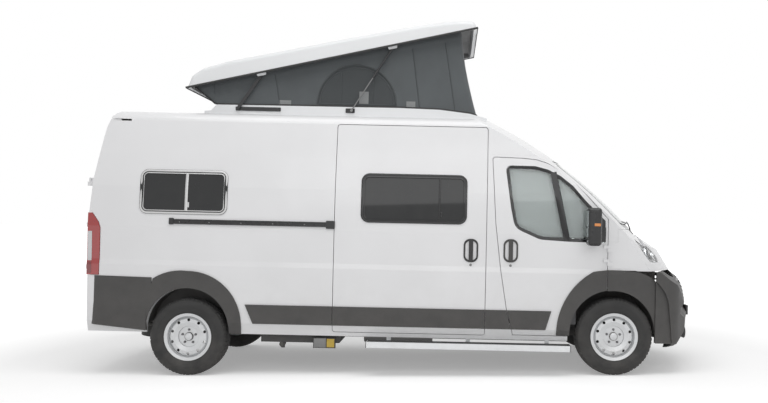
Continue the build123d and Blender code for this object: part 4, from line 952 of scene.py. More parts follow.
def patch(name, body, slot, finish, nodes, outline, side, out, thick=1.5, steps=8):
    """A thin skin laid on a flank: outline is four corners (x, z), in order round it."""
    a, b, c, d = (Vector(corner) for corner in outline)
    rows = []
    for row in range(steps + 1):
        line = []
        for step in range(steps + 1):
            low, high = a.lerp(b, step / steps), d.lerp(c, step / steps)
            x, z = low.lerp(high, row / steps)
            line.append(side_skin(nodes, x, z, side, out))
        rows.append(line)
    bm = bmesh.new()
    grid(bm, rows)
    thicken(bm, thick)
    return piece(name, bm, body, slot, finish)


RAIL_SCREW_Z = 1364.0


class CAMPER_OT_body_side(bpy.types.Operator):
    """Fuel flap, mains inlet, door locks and fastenings of the body's sides"""
    bl_idname = "camper.body_side"
    bl_label = "Body side"

    def execute(self, context):
        left = flank(1)
        for name, spec in (("fuel_flap", (672, 836, 742, 906, 26)), ("mains_inlet", (-2290, -2150, 700, 820, 16))):
            x0, x1, z0, z1, radius = spec
            bm = bmesh.new()
            outline = round_rectangle(x0, x1, z0, z1, radius)
            rows = []
            for share in (1.0, 0.985, 0.6, 0.02):
                out = 0.4 if share == 1.0 else 1.8
                cx, cz = (x0 + x1) / 2, (z0 + z1) / 2
                line = [left(cx + (x - cx) * share, cz + (z - cz) * share, out) for x, z in outline]
                rows.append(line + line[:1])
            grid(bm, rows)
            piece(name, bm, "van_body", "body_paint", smooth=30)
            bm = bmesh.new()
            bead(bm, round_rectangle(x0 - 3, x1 + 3, z0 - 3, z1 + 3, radius + 3), left,
                 ((-2, 0.2), (-2, 0.9), (2, 0.9), (2, 0.2)))
            piece(f"{name}_gap", bm, "van_body", "black_gloss", "seal_rubber")
        for side, name in SIDES:
            bm = bmesh.new()
            spot = side_skin([f"front_door_{name}"], 1055, 1020, side)
            lathe(bm, [(1, 0), (9, 0), (12, side * 2), (9, side * 4), (1, side * 3)], tuple(spot), 20, closed=True)
            piece(f"door_lock_{name}", bm, f"front_door_{name}_body", "steel_dark")
        bm = bmesh.new()
        spot = side_skin(["sliding_door"], 678, 1018, -1)
        lathe(bm, [(1, 0), (9, 0), (12, -2), (9, -4), (1, -3)], tuple(spot), 20)
        piece("slider_lock", bm, "van_body", "steel_dark")
        bm = bmesh.new()
        for x in (-2080, -1800, -1500, -1200, -900):
            place = (x, -(half_width(RAIL_SCREW_Z) + 6), RAIL_SCREW_Z)
            lathe(bm, [(1, 0), (7, 0), (6, -3), (1, -4)], place, 12)
        piece("rail_screws", bm, "van_body", "steel_dark")
        return {"FINISHED"}


CAB_WINDOW = ((992, 1972), (1050, 1568), (1090, 1376), (1330, 1272), (1600, 1258), (1948, 1252), (1948, 1462),
              (1757, 1650), (1637, 1788), (1516, 1882), (1396, 1940), (1277, 1970))


def soft_corners(outline, radius):
    """A closed outline with its corners eased, as points in order."""
    corners = [Vector(corner) for corner in outline]
    loop = []
    for number, corner in enumerate(corners):
        before, after = corners[number - 1], corners[(number + 1) % len(corners)]
        reach = min(radius, 0.45 * (before - corner).length, 0.45 * (after - corner).length)
        a = corner + (before - corner).normalized() * reach
        b = corner + (after - corner).normalized() * reach
        for step in range(5):
            share = step / 4
            loop.append(tuple(a.lerp(corner, share).lerp(corner.lerp(b, share), share)))
    return loop


class CAMPER_OT_cab_windows(bpy.types.Operator):
    """Black borders, dividers and tip trims of the front doors' windows, mirrors' lenses and wipers"""
    bl_idname = "camper.cab_windows"
    bl_label = "Cab windows"

    def execute(self, context):
        loop = soft_corners(CAB_WINDOW, 60)
        for side, name in SIDES:
            body = f"front_door_{name}_body"
            glass = [f"front_door_glass_{name}", f"front_door_{name}"]

            def skin(x, z, out, side=side, glass=glass):
                return Vector((x, side * (half_width(z) - 4 + out), z))

            bm = bmesh.new()
            bead(bm, loop, skin, ((2, 0.3), (2, 3), (-2, 4.5), (-8, 3.5), (-30, 0.8), (-30, 0.2)))
            piece(f"cab_window_border_{name}", bm, body, "black_gloss", "window_black")
            bm = bmesh.new()
            line = [(1448 + 138 * step / 12, 1915 - 650 * step / 12) for step in range(13)]
            bead(bm, line, skin, ((-30, 0.2), (-30, 4), (-24, 6), (24, 6), (30, 4), (30, 0.2)), closed=False)
            piece(f"cab_window_divider_{name}", bm, body, "black_gloss", "window_black")
            bm = bmesh.new()
            tip = [skin(x, z, out) for out in (0.3, 5)
                   for x, z in ((1790, 1262), (1940, 1262), (1940, 1452), (1792, 1600))]
            near, far = [bm.verts.new(p) for p in tip[:4]], [bm.verts.new(p) for p in tip[4:]]
            bm.faces.new(near)
            bm.faces.new(far)
            for step in range(4):
                after = (step + 1) % 4
                bm.faces.new((near[step], near[after], far[after], far[step]))
            piece(f"cab_window_tip_{name}", bm, body, "black_gloss", "satin_black")
            self.mirror(side, name, body)
        self.wipers()
        self.screen_border()
        return {"FINISHED"}

    def mirror(self, side, name, body):
        """Two lenses with a rib between them, and the repeater on the housing's face."""
        bm = bmesh.new()
        for z0, z1 in ((1262, 1392), (1402, 1548)):
            outline = round_rectangle(-1228, -1104, z0, z1, 22)
            near = [bm.verts.new((1749.2, y * -side, z)) for y, z in outline]
            far = [bm.verts.new((1748.0, (y + 3 if y < -1166 else y - 3) * -side, z)) for y, z in outline]
            bm.faces.new(far)
            for step in range(len(near)):
                after = (step + 1) % len(near)
                bm.faces.new((near[step], near[after], far[after], far[step]))
        piece(f"mirror_lens_{name}", bm, body, "aluminium_bare", "mirror_glass")
        bm = bmesh.new()
        slab(bm, 1800, 1858, side * 1250, side * 1256.5, 1410, 1436, 3)
        piece(f"mirror_repeater_{name}", bm, body, "lamp_red", "amber_lens")
        bm = bmesh.new()
        for z in (1300, 1346, 1392, 1438, 1484, 1530):
            slab(bm, 1872, 1876, side * 1120, side * 1225, z - 2, z + 2, 1.2)
        piece(f"mirror_ribs_{name}", bm, body, "black_gloss")

    def wipers(self):
        """Two arms and blades parked along the foot of the screen."""
        bm = bmesh.new()
        for pivot_y, tip_y, far_y in ((655, -70, 560), (-90, -800, -170)):
            blade = []
            for step in range(15):
                y = tip_y + (far_y - tip_y) * step / 14
                spot, _ = found_on(["windscreen"], (3200, y, 1428 + 0.00003 * y * y), (-1, 0, 0))
                blade.append(spot + Vector((9, 0, 12)))
            tube(bm, blade, [3] + [7] * 13 + [3], sides=8, flat=0.7)
            base, _ = found_on(["windscreen", "front_structure", "hood"], (2372, pivot_y, 2400), (0, 0, -1))
            joint = blade[7] + Vector((8, 0, 10))
            arm = [base + Vector((0, 0, 16)), base.lerp(joint, 0.25) + Vector((6, 0, 22)),
                   base.lerp(joint, 0.7) + Vector((4, 0, 14)), joint]
            tube(bm, arm, [10, 8, 6, 5], sides=8)
            lathe(bm, [(1, 20), (16, 20), (18, 12), (18, -4), (1, -4)], tuple(base), 20, axis="Z")
        piece("wipers", bm, "van_body", "black_gloss", "satin_black", smooth=60)

    def screen_border(self):
        """The black baked edge of the windscreen, and the mirror behind it."""
        bm = bmesh.new()
        edge = soft_corners(((-905, 1390), (905, 1390), (742, 2035), (-742, 2035)), 130)
        fine = []
        for number, (y, z) in enumerate(edge):
            after = edge[(number + 1) % len(edge)]
            parts = max(1, int(hypot(after[0] - y, after[1] - z) / 60))
            fine += [(y + (after[0] - y) * step / parts, z + (after[1] - z) * step / parts) for step in range(parts)]
        rows = [[], []]
        for y, z in fine:
            for row, keep in zip(rows, (0.97, 0.915)):
                spot, _ = found_on(["windscreen"], (3200, y * keep, 1712 + (z - 1712) * keep), (-1, 0, 0))
                row.append(spot + Vector((0.5, 0, 0.5)))
        grid(bm, [row + row[:1] for row in rows])
        thicken(bm, 0.5)
        piece("screen_border", bm, "van_body", "black_gloss", "window_black")
        bm = bmesh.new()
        slab(bm, 1560, 1592, -120, 120, 1800, 1868, 12)
        tube(bm, [(1590, 0, 1850), (1650, 0, 1905)], 9, sides=10)
        piece("inside_mirror", bm, "van_body", "black_gloss", smooth=50)


# ---------------------------------------------------------------- lamps
class CAMPER_OT_lamps(bpy.types.Operator):
    """Reflectors, bulbs and coloured bands of the head and tail lamps"""
    bl_idname = "camper.lamps"
    bl_label = "Lamps"

    def execute(self, context):
        for side, name in SIDES:
            self.headlamp(side, name)
            self.tail_lamp(side, name)
        bm = bmesh.new()
        spot, _ = found_on(["roof_panel"], (-3300, 0, 2395), (1, 0, 0))
        slab(bm, spot.x - 10, spot.x + 4, -190, 190, 2384, 2408, 4)
        piece("high_brake_lamp", bm, "van_body", "lamp_red")
        return {"FINISHED"}

    def headlamp(self, side, name):
        bowls = bmesh.new()
        bulbs = bmesh.new()
        for y, z, mouth in ((842, 1158, 50), (752, 1128, 36)):
            spot, _ = found_on(["headlamps"], (3200, side * y, z), (-1, 0, 0))
            centre = (spot.x - 26, side * y, z)
            deep = mouth * 0.55
            profile = [(mouth, 0), (mouth * 0.86, -deep * 0.35), (mouth * 0.55, -deep * 0.8), (8, -deep),
                       (4, -deep - 4),
                       (mouth * 0.5, -deep - 4), (mouth + 2, -6), (mouth + 2, 0)]
            lathe(bowls, profile, centre, 36, axis="X")
            lathe(bulbs, [(0.5, -deep), (9, -deep), (11, -deep * 0.3), (8, 2), (0.5, 5)], centre, 20, axis="X")
        piece(f"headlamp_reflectors_{name}", bowls, "van_body", "aluminium_bare", "mirror_glass", smooth=60)
        piece(f"headlamp_bulbs_{name}", bulbs, "van_body", "lamp_clear", "lamp_core", smooth=60)
        patch(f"headlamp_amber_{name}", "van_body", "lamp_red", "amber_lens", ["headlamps"],
              ((2212, 1206), (2300, 1204), (2288, 1236), (2212, 1240)), side, 0.6)

    def tail_lamp(self, side, name):
        """A clear band down the rear edge of the red lens, ribbed inside."""
        for label, finish, z0, z1 in (("clear", "lamp_frost", 985, 1262), ("low", "lamp_red_dark", 866, 975)):
            rows = []
            for row in range(15):
                z = z0 + (z1 - z0) * row / 14
                line = []
                for step in range(6):
                    x = -2902 - 39 * step / 5
                    line.append(side_skin(["tail_lamps"], x, z, side, 1.2 + (1.5 if row % 2 else 0)))
                for step in range(4):
                    y = 1002 - 52 * step / 3
                    spot, _ = found_on(["tail_lamps"], (-3300, side * y, z), (1, 0, 0))
                    line.append(spot + Vector((-1.2 - (1.5 if row % 2 else 0), 0, 0)))
                rows.append(line)
            bm = bmesh.new()
            grid(bm, rows)
            thicken(bm, 0.8)
            piece(f"tail_lamp_{label}_{name}", bm, "van_body", "lamp_red", finish, smooth=50)


# ---------------------------------------------------------------- wheels and tyres
WHEELS = (("front", FRONT_AXLE, "front_wheel_"), ("rear", REAR_AXLE, "rear_wheel_"))


def tread_depth(angle, across, finish):
    """Depth of the tread's grooves at a place on the tyre, in millimetres."""
    deep = finish.tread * 1000
    for groove in (-52, -18, 18, 52):
        if abs(across - groove) < 5.2:
            return deep
    pitch = 2 * pi / 62
    shift = across / 300.0 if abs(across) < 52 else 0.0
    phase = ((angle + shift * pitch * 6) % pitch) / pitch
    width = 0.2 if abs(across) > 52 else 0.12
    return deep * 0.75 if phase < width else 0.0


class CAMPER_OT_tyres(bpy.types.Operator):
    """Tyres with a grooved tread, ribbed shoulders and ringed walls"""
    bl_idname = "camper.tyres"
    bl_label = "Tyres"

    def execute(self, context):
        finish = context.scene.camper_finish
        half = 112.5
        wall = [(207, half - 26), (214, half - 21), (222, half - 17), (228, half - 13), (231, half - 14.5),
                (236, half - 10), (262, half - 3), (286, half), (289, half - 1.6), (292, half), (306, half - 1.5),
                (322, half - 6), (336, half - 9.5), (344, half - 13)]
        half_tread = (0, 12.6, 13.4, 22.6, 23.4, 30, 46.6, 47.4, 56.6, 57.4, 70)
        profile = [(radius, wide) for radius, wide in wall]
        profile += [(TYRE_R - 17, half - 22), (TYRE_R - 8, half - 29), (TYRE_R - 3.2, 76)]
        for across in reversed(half_tread):
            profile.append((TYRE_R - 0.4 - 2.2 * (across / 70) ** 2, across))
        mirrored_half = [(radius, -wide) for radius, wide in reversed(profile[:-1])]
        profile += mirrored_half
        steps = 310
        for axle, (x, z), body in WHEELS:
            for side, name in SIDES:
                bm = bmesh.new()
                rings = []
                for radius, wide in profile:
                    ring = []
                    for step in range(steps):
                        angle = 2 * pi * step / steps
                        at = radius
                        if radius > TYRE_R - 10:
                            at -= tread_depth(angle, wide, finish)
                        elif 334 < radius < 352:
                            at -= 2.5 if step % 5 < 2 else 0.0
                        ring.append(bm.verts.new((x + at * cos(angle), side * TRACK_Y + wide, z + at * sin(angle))))
                    rings.append(ring)
                for a, b in zip(rings, rings[1:]):
                    for step in range(steps):
                        after = (step + 1) % steps
                        bm.faces.new((a[step], a[after], b[after], b[step]))
                obj = piece(f"tyre_{axle}_{name}_detail", bm, f"{body}{name}", "tyre_rubber", smooth=30)
                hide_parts(f"tyre_{axle}_{name}")
        return {"FINISHED"}


class CAMPER_OT_wheel_trim(bpy.types.Operator):
    """Wheel bolts, hub caps and valves"""
    bl_idname = "camper.wheel_trim"
    bl_label = "Wheel trim"

    def execute(self, context):
        for axle, (x, z), body in WHEELS:
            for side, name in SIDES:
                face = side * (TRACK_Y + 48)
                bolts = bmesh.new()
                for number in range(5):
                    angle = 2 * pi * number / 5 + pi / 2
                    place = (x + 65 * cos(angle), face, z + 65 * sin(angle))
                    lathe(bolts, [(1, 0), (13, 0), (13, side * 3), (10.5, side * 4), (10.5, side * 16), (9, side * 19),
                                  (1, side * 20)], place, 6)
                piece(f"wheel_bolts_{axle}_{name}", bolts, f"{body}{name}", "steel_dark", "bolt_steel", smooth=25)
                cap = bmesh.new()
                lathe(cap, [(1, side * 26), (20, side * 25), (33, side * 21), (38, side * 12), (38, side * 2),
                            (1, side * 2)],
                      (x, face, z), 40)
                tube(cap, [Vector((x + 168, side * (TRACK_Y + 58), z - 60)),
                           Vector((x + 158, side * (TRACK_Y + 82), z - 56))],
                     [5, 4], sides=10)
                piece(f"hub_cap_{axle}_{name}", cap, f"{body}{name}", "wheel_silver", smooth=40)
        return {"FINISHED"}


# ---------------------------------------------------------------- front and tail
class CAMPER_OT_front_end(bpy.types.Operator):
    """Blank plate and fog lamps of the nose"""
    bl_idname = "camper.front_end"
    bl_label = "Front end"

    def execute(self, context):
        bumper = ["front_bumper", "grille"]
        bm = bmesh.new()
        spot, _ = found_on(bumper, (3300, 0, 556), (-1, 0, 0))
        slab(bm, spot.x - 22, spot.x + 3, -160, 160, 506, 606, 5)
        piece("front_plate_holder", bm, "van_body", "dark_plastic", "satin_black")
        bm = bmesh.new()
        slab(bm, spot.x + 2.5, spot.x + 4.5, -150, 150, 512, 600, 1.0)
        for y in (-110, 110):
            lathe(bm, [(0.5, 6.5), (6, 6), (7, 4), (0.5, 4)], (spot.x, y, 585), 10, axis="X")
        piece("front_plate", bm, "van_body", "lid_shell", "plate_blank")
        for side, name in SIDES:
            y = side * 760
            spot, _ = found_on(["front_bumper"], (3300, y, 400), (-1, 0, 0))
            bm = bmesh.new()
            lathe(bm, [(30, -30), (44, -30), (58, 2), (56, 8), (46, 6), (44, -12), (30, -14)],
                  (spot.x, y, 400), 36, axis="X")
            piece(f"fog_lamp_ring_{name}", bm, "van_body", "black_gloss", "satin_black", smooth=50)
            bm = bmesh.new()
            lathe(bm, [(0.5, -4), (26, -6), (44, -12), (44, -16), (0.5, -16)], (spot.x, y, 400), 36, axis="X")
            piece(f"fog_lamp_lens_{name}", bm, "van_body", "lamp_clear", "lamp_core", smooth=60)
        return {"FINISHED"}


class CAMPER_OT_tail_end(bpy.types.Operator):
    """Handle, blank plate, lamps, reflectors and seals of the tail doors"""
    bl_idname = "camper.tail_end"
    bl_label = "Tail end"

    def execute(self, context):
        bm = bmesh.new()
        spot, _ = found_on(["rear_door_right"], (-3300, -60, 1120), (1, 0, 0))
        slab(bm, spot.x - 26, spot.x + 2, -96, -40, 1040, 1220, 10)
        slab(bm, spot.x - 30, spot.x - 20, -84, -52, 1060, 1200, 4)
        piece("tail_handle", bm, "rear_door_right_body", "black_gloss", "satin_black", smooth=50)
        for name, y0, y1, z0, z1, out, slot, finish in (
                ("rear_plate_holder", 250, 590, 1030, 1200, 6, "dark_plastic", "satin_black"),
                ("rear_plate", 266, 574, 1040, 1192, 8, "lid_shell", "plate_blank")):
            spot, _ = found_on(["rear_door_left"], (-3300, 420, 1120), (1, 0, 0))
            bm = bmesh.new()
            slab(bm, spot.x - out, spot.x + 1, y0, y1, z0, z1, 3)
            piece(name, bm, "rear_door_left_body", slot, finish)
        bm = bmesh.new()
        slab(bm, spot.x - 22, spot.x + 1, 330, 510, 1206, 1226, 5)
        piece("plate_lamp", bm, "rear_door_left_body", "black_gloss")
        for side, name in SIDES:
            y = side * 930
            spot, _ = found_on(["rear_bumper"], (-3300, y, 620), (1, 0, 0))
            bm = bmesh.new()
            slab(bm, spot.x - 4, spot.x + 2, y - 30, y + 30, 560, 640, 3)
            piece(f"rear_reflector_{name}", bm, "van_body", "lamp_red")
            self.window_seal(side, name)
        return {"FINISHED"}

    def window_seal(self, side, name):
        """Rubber round a tail door's window."""
        outline = round_rectangle(170, 770, 1450, 1960, 80)
        bm = bmesh.new()
        section = ((-6, -2), (-6, 4), (0, 6), (8, 5), (14, 1), (14, -2))
        count = len(outline)
        rings = []
        for number, (y, z) in enumerate(outline):
            before, after = outline[number - 1], outline[(number + 1) % count]
            way = Vector((after[0] - before[0], after[1] - before[1]))
            normal = Vector((way.y, -way.x)).normalized()
            ring = []
            for sideways, outward in section:
                ring.append(bm.verts.new((tail_x(z) - outward, side * (y + normal.x * sideways),
                                              z + normal.y * sideways)))
            rings.append(ring)
        for number in range(count):
            a, b = rings[number], rings[(number + 1) % count]
            for step in range(len(section)):
                after = (step + 1) % len(section)
                bm.faces.new((a[step], a[after], b[after], b[step]))
        piece(f"tail_window_seal_{name}", bm, f"rear_door_{name}_body", "black_gloss", "seal_rubber")


REAR_PROFILE = ((-2940, 1431), (-2913, 1775), (-2864, 2067), (-2832, 2245), (-2788, 2368), (-2741, 2415))


def tail_x(z):
    if z <= REAR_PROFILE[0][1]:
        return REAR_PROFILE[0][0]
    for (xa, za), (xb, zb) in zip(REAR_PROFILE, REAR_PROFILE[1:]):
        if z <= zb:
            return xa + (xb - xa) * (z - za) / (zb - za)
    return REAR_PROFILE[-1][0]


class CAMPER_OT_underside(bpy.types.Operator):
    """Ribs of the running board, drain valve, service hatch and spare wheel's rim"""
    bl_idname = "camper.underside"
    bl_label = "Underside"

    def execute(self, context):
        bm = bmesh.new()
        for number in range(5):
            y = -1096 + 24 * number
            slab(bm, -276, 1614, y - 4, y + 4, 285.5, 288.5, 1)
        piece("running_board_ribs", bm, "van_body", "black_gloss", "satin_black")
        bm = bmesh.new()
        for x in (-290, 1622):
            prism(bm, [(x, 229), (x + 6, 229), (x + 6, 288), (x, 288)], -1114, -974)
        piece("running_board_caps", bm, "van_body", "black_gloss")
        bm = bmesh.new()
        lathe(bm, [(6, 0), (26, 0), (28, -4), (28, -16), (24, -20), (6, -20)], (-1110, -868, 214), 28)
        slab(bm, -1118, -1102, -900, -886, 190, 240, 3)
        piece("drain_valve_cap", bm, "van_body", "steel_dark", "chassis_black", smooth=40)
        bm = bmesh.new()
        slab(bm, -800, -684, -935, -929, 196, 284, 2)
        piece("service_hatch", bm, "van_body", "steel_dark")
        bm = bmesh.new()
        slab(bm, -676, -604, -935, -929, 200, 280, 2)
        piece("service_flap", bm, "van_body", "lamp_red", "yellow_plastic")
        bm = bmesh.new()
        lathe(bm, [(60, -12), (205, -12), (222, -2), (226, 18), (205, 6), (150, 4), (60, 16)],
              (-2420, 0, 170), 48, axis="Z")
        piece("spare_wheel_rim", bm, "van_body", "wheel_silver", smooth=45)
        return {"FINISHED"}


# ---------------------------------------------------------------- inside
def refined(obj, kind, **settings):
    """Runs one modifier on a piece and keeps its result as the piece's mesh."""
    modifier = obj.modifiers.new(kind.title(), kind)
    for key, value in settings.items():
        setattr(modifier, key, value)
    shape = obj.evaluated_get(bpy.context.evaluated_depsgraph_get())
    mesh = bpy.data.meshes.new_from_object(shape)
    obj.modifiers.remove(modifier)
    old, obj.data = obj.data, mesh
    bpy.data.meshes.remove(old)
    for polygon in mesh.polygons:
        polygon.use_smooth = True


FILL_PRESSURE = 4.0
FILL_CAP = 0.012


def swollen(obj, pressure, cap, frames=20):
    """Fills a closed soft piece; no point of it moves further than the cap."""
    scene = bpy.context.scene
    cloth = obj.modifiers.new("Cloth", "CLOTH")
    cloth.settings.quality = 4
    cloth.settings.use_pressure = True
    cloth.settings.uniform_pressure_force = pressure
    cloth.settings.effector_weights.gravity = 0
    cloth.point_cache.frame_end = frames
    for number in range(1, frames + 1):
        scene.frame_set(number)
    shape = obj.evaluated_get(bpy.context.evaluated_depsgraph_get())
    there = [vertex.co.copy() for vertex in shape.to_mesh().vertices]
    shape.to_mesh_clear()
    obj.modifiers.remove(cloth)
    scene.frame_set(1)
    for vertex, place in zip(obj.data.vertices, there):
        step = place - vertex.co
        vertex.co += step * min(1.0, cap / max(step.length, 1e-9))


def pad(name, centre, size, lean, finish, voxel=0.016, slot="seat_cloth"):
    """A stuffed pad about a centre, leaning back by an angle, with a sewn edge round it."""
    turn = Matrix.Rotation(lean, 4, "Y")
    half = Vector(size) / 2
    bm = bmesh.new()
    thin = min(size)
    slab(bm, centre[0] - half.x, centre[0] + half.x, centre[1] - half.y, centre[1] + half.y, centre[2] - half.z,
         centre[2] + half.z, thin * 0.32, turn)
    obj = piece(name, bm, "van_body", slot, finish)
    refined(obj, "REMESH", mode="VOXEL", voxel_size=voxel)
    swollen(obj, FILL_PRESSURE, FILL_CAP)
    refined(obj, "SUBSURF", levels=1)
    obj.data.materials.clear()
    obj.data.materials.append(MATS[finish])
    skin = BVHTree.FromPolygons([vertex.co for vertex in obj.data.vertices],
                                [polygon.vertices for polygon in obj.data.polygons])
    welt = bmesh.new()
    flat = sorted(range(3), key=lambda axis: size[axis])[1:]
    loop = []
    for number in range(72):
        angle = 2 * pi * number / 72
        spot = Vector((0, 0, 0))
        spot[flat[0]], spot[flat[1]] = cos(angle) * size[flat[0]], sin(angle) * size[flat[1]]
        far = parked(*(Vector(centre) + turn.to_3x3() @ spot))
        hit, _, _, _ = skin.ray_cast(far, (parked(*centre) - far).normalized())
        if hit is not None:
            loop.append(level_point(hit))
    tube(welt, loop, 4, sides=6, closed=True)
    piece(f"{name}_welt", welt, "van_body", slot, "binding", smooth=60)
    return obj


class CAMPER_OT_seats(bpy.types.Operator):
    """Front seats: base, stuffed cushion, back and head restraint, and belts"""
    bl_idname = "camper.seats"
    bl_label = "Front seats"

    def execute(self, context):
        for side, name in SIDES:
            y = side * 480
            bm = bmesh.new()
            slab(bm, 1190, 1600, y - 205, y + 205, 438, 640, 14)
            slab(bm, 1215, 1650, y - 235, y + 235, 640, 700, 20)
            slab(bm, 1215, 1640, y - 240, y - 228, 600, 705, 5)
            lean = Matrix.Rotation(radians(-16.2), 4, "Y")
            slab(bm, 1155, 1195, y - 215, y + 215, 720, 1410, 16, lean)
            for post in (-70, 70):
                tube(bm, [(1095, y + post, 1380), (1088, y + post, 1500)], 7, sides=10)
            base = piece(f"seat_base_{name}", bm, "van_body", "dash_plastic", smooth=40)
            pad(f"seat_cushion_{name}", (1440, y, 765), (400, 460, 110), radians(-4), "seat_cloth")
            pad(f"seat_back_{name}", (1225, y, 1105), (100, 440, 600), radians(-16.2), "seat_cloth")
            pad(f"head_restraint_{name}", (1100, y, 1545), (80, 260, 180), radians(-8), "seat_cloth")
            bm = bmesh.new()
            tube(bm, [(1075, side * 905, 1600), (1090, side * 900, 1200), (1100, side * 880, 700),
                      (1110, side * 800, 470)],
                 24, sides=8, flat=0.06)
            slab(bm, 1060, 1092, side * 885, side * 915, 1580, 1650, 6)
            piece(f"seat_belt_{name}", bm, "van_body", "seat_cloth", "belt_webbing", smooth=60)
        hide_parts("cab_seats")
        return {"FINISHED"}


class CAMPER_OT_cab(bpy.types.Operator):
    """Dash binnacle, screen, vents and door cards"""
    bl_idname = "camper.cab"
    bl_label = "Cab trim"

    def execute(self, context):
        bm = bmesh.new()
        tilt = Matrix.Rotation(radians(-62), 4, "Y")
        slab(bm, 1765, 1915, 330, 630, 1140, 1190, 22)
        slab(bm, 1752, 1776, -120, 120, 985, 1105, 8, Matrix.Rotation(radians(20), 4, "Y"))
        for y in (-790, -210, 210, 790):
            lathe(bm, [(20, 4), (34, 4), (38, -2), (36, -12), (20, -12)], (1772, y, 1085), 24, axis="X")
            for step in (-16, -8, 0, 8, 16):
                slab(bm, 1762, 1772, y - 22, y + 22, 1083 + step, 1087 + step, 1)
        piece("dash_binnacle", bm, "van_body", "dash_plastic", "satin_black", smooth=40)
        bm = bmesh.new()
        slab(bm, 1745, 1752, -100, 100, 1000, 1090, 4, Matrix.Rotation(radians(20), 4, "Y"))
        slab(bm, 1760, 1768, 360, 600, 1132, 1182, 4, tilt)
        piece("dash_screen", bm, "van_body", "black_gloss", "window_black")
        for side, name in SIDES:
            spot, _ = found_on([f"front_door_{name}"], (1300, side * 500, 760), (0, side, 0))
            near = abs(spot.y)
            bm = bmesh.new()
            slab(bm, 1050, 1690, side * (near - 16), side * near, 470, 1190, 8)
            slab(bm, 1120, 1560, side * (near - 58), side * (near - 12), 820, 870, 16)
            slab(bm, 1100, 1640, side * (near - 50), side * (near - 12), 500, 640, 14)
            piece(f"door_card_{name}", bm, f"front_door_{name}_body", "dash_plastic", smooth=40)
        return {"FINISHED"}


class CAMPER_OT_living(bpy.types.Operator):
    """Mattress, pillows, worktop, sink and cupboard fronts"""
    bl_idname = "camper.living"
    bl_label = "Living space"

    def execute(self, context):
        pad("mattress", (-2190, 0, 1165), (1200, 1560, 105), 0.0, "bedding", voxel=0.03)
        for side, name in SIDES:
            pad(f"pillow_{name}", (-2180, side * 560, 1275), (480, 330, 90), 0.0, "bedding", voxel=0.018)
        bm = bmesh.new()
        slab(bm, -1306, 306, 452, 850, 1318, 1340, 5)
        piece("worktop", bm, "van_body", "furniture_wood", "pale_laminate")
        bm = bmesh.new()
        for x0, x1 in ((-1290, -900), (-890, -500), (-490, -100), (-90, 290)):
            for z0, z1 in ((450, 930), (940, 1305)):
                slab(bm, x0, x1, 452, 469, z0, z1, 3)
        piece("cupboard_fronts", bm, "van_body", "furniture_wood")
        bm = bmesh.new()
        for x in (-1095, -695, -295, 100):
            for z in (880, 1250):
                tube(bm, [(x - 60, 446, z), (x - 60, 438, z), (x + 60, 438, z), (x + 60, 446, z)], 4, sides=8)
        rim = [(x, y) for x, y in round_rectangle(-60, 240, 500, 790, 50)]
        rows = []
        for share, z in ((1.06, 1343), (1.0, 1344), (0.95, 1336), (0.9, 1346)):
            cx, cy = 90, 645
            rows.append([Vector((cx + (x - cx) * share, cy + (y - cy) * share, z)) for x, y in rim + rim[:1]])
        grid(bm, rows)
        tube(bm, [(90, 815, 1340), (90, 815, 1560), (90, 780, 1600), (90, 700, 1590), (90, 680, 1560)], 9, sides=10)
        for x, radius in ((-700, 75), (-470, 60)):
            lathe(bm, [(radius, 1352), (radius - 6, 1356), (12, 1352), (12, 1342), (radius, 1342)],
                  (x, 645, 0), 32, axis="Z")
        piece("galley_fittings", bm, "van_body", "aluminium_bare", smooth=40)
        return {"FINISHED"}


class CamperFinish(bpy.types.PropertyGroup):
    paint: FloatVectorProperty(name="Body paint", description="Colour of the painted panels", subtype="COLOR",
                               size=3, default=(0.84, 0.84, 0.85))
    lid: FloatVectorProperty(name="Lid shell", description="Colour of the moulded roof lid and collar", subtype="COLOR",
                             size=3, default=(0.82, 0.83, 0.84))
    tent: FloatVectorProperty(name="Tent cloth", description="Colour of the tent's walls", subtype="COLOR", size=3,
                              default=(0.1, 0.11, 0.115))
    canvas_folds: FloatProperty(name="Canvas folds", description="How far the slack canvas waves stand out",
                                default=0.0025, unit="LENGTH")
    tread: FloatProperty(name="Tread depth", description="Depth of the tyres' grooves", default=0.0075, unit="LENGTH")
    key_light: FloatProperty(name="Key light", description="Power of the softbox over the van", default=265.0,
                             unit="POWER")
    fill_light: FloatProperty(name="Fill light", description="Strength of the white studio round the van",
                              default=0.47)


class CAMPER_OT_finishes(bpy.types.Operator):
    """Gives every solid of the van its finish"""
    bl_idname = "camper.finishes"
    bl_label = "Finishes"

    def execute(self, context):
        make_materials(context.scene.camper_finish)
        slots = {row["node"]: row["material_slot"] for row in frame["record"]["subparts"]}
        for node in frame["nodes"]:
            dress(node, NODE_FINISH.get(node, slots[node]))
        return {"FINISHED"}


def lamp(name, location, target, size, power):
    data = bpy.data.lights.new(name, "AREA")
    data.shape = "RECTANGLE"
    data.size, data.size_y = size
    data.energy = power
    obj = bpy.data.objects.new(name, data)
    bpy.context.scene.collection.objects.link(obj)
    obj.location = location
    obj.rotation_euler = (Vector(target) - Vector(location)).to_track_quat("-Z", "Y").to_euler()
    return obj


def seen_rays(tree):
    """One for rays by which the stage is seen, directly or in glass and metal."""
    path = tree.nodes.new("ShaderNodeLightPath")
    glossy = math(tree, "MAXIMUM", path.outputs["Is Glossy Ray"], path.outputs["Is Transmission Ray"])
    return math(tree, "MAXIMUM", path.outputs["Is Camera Ray"], glossy)


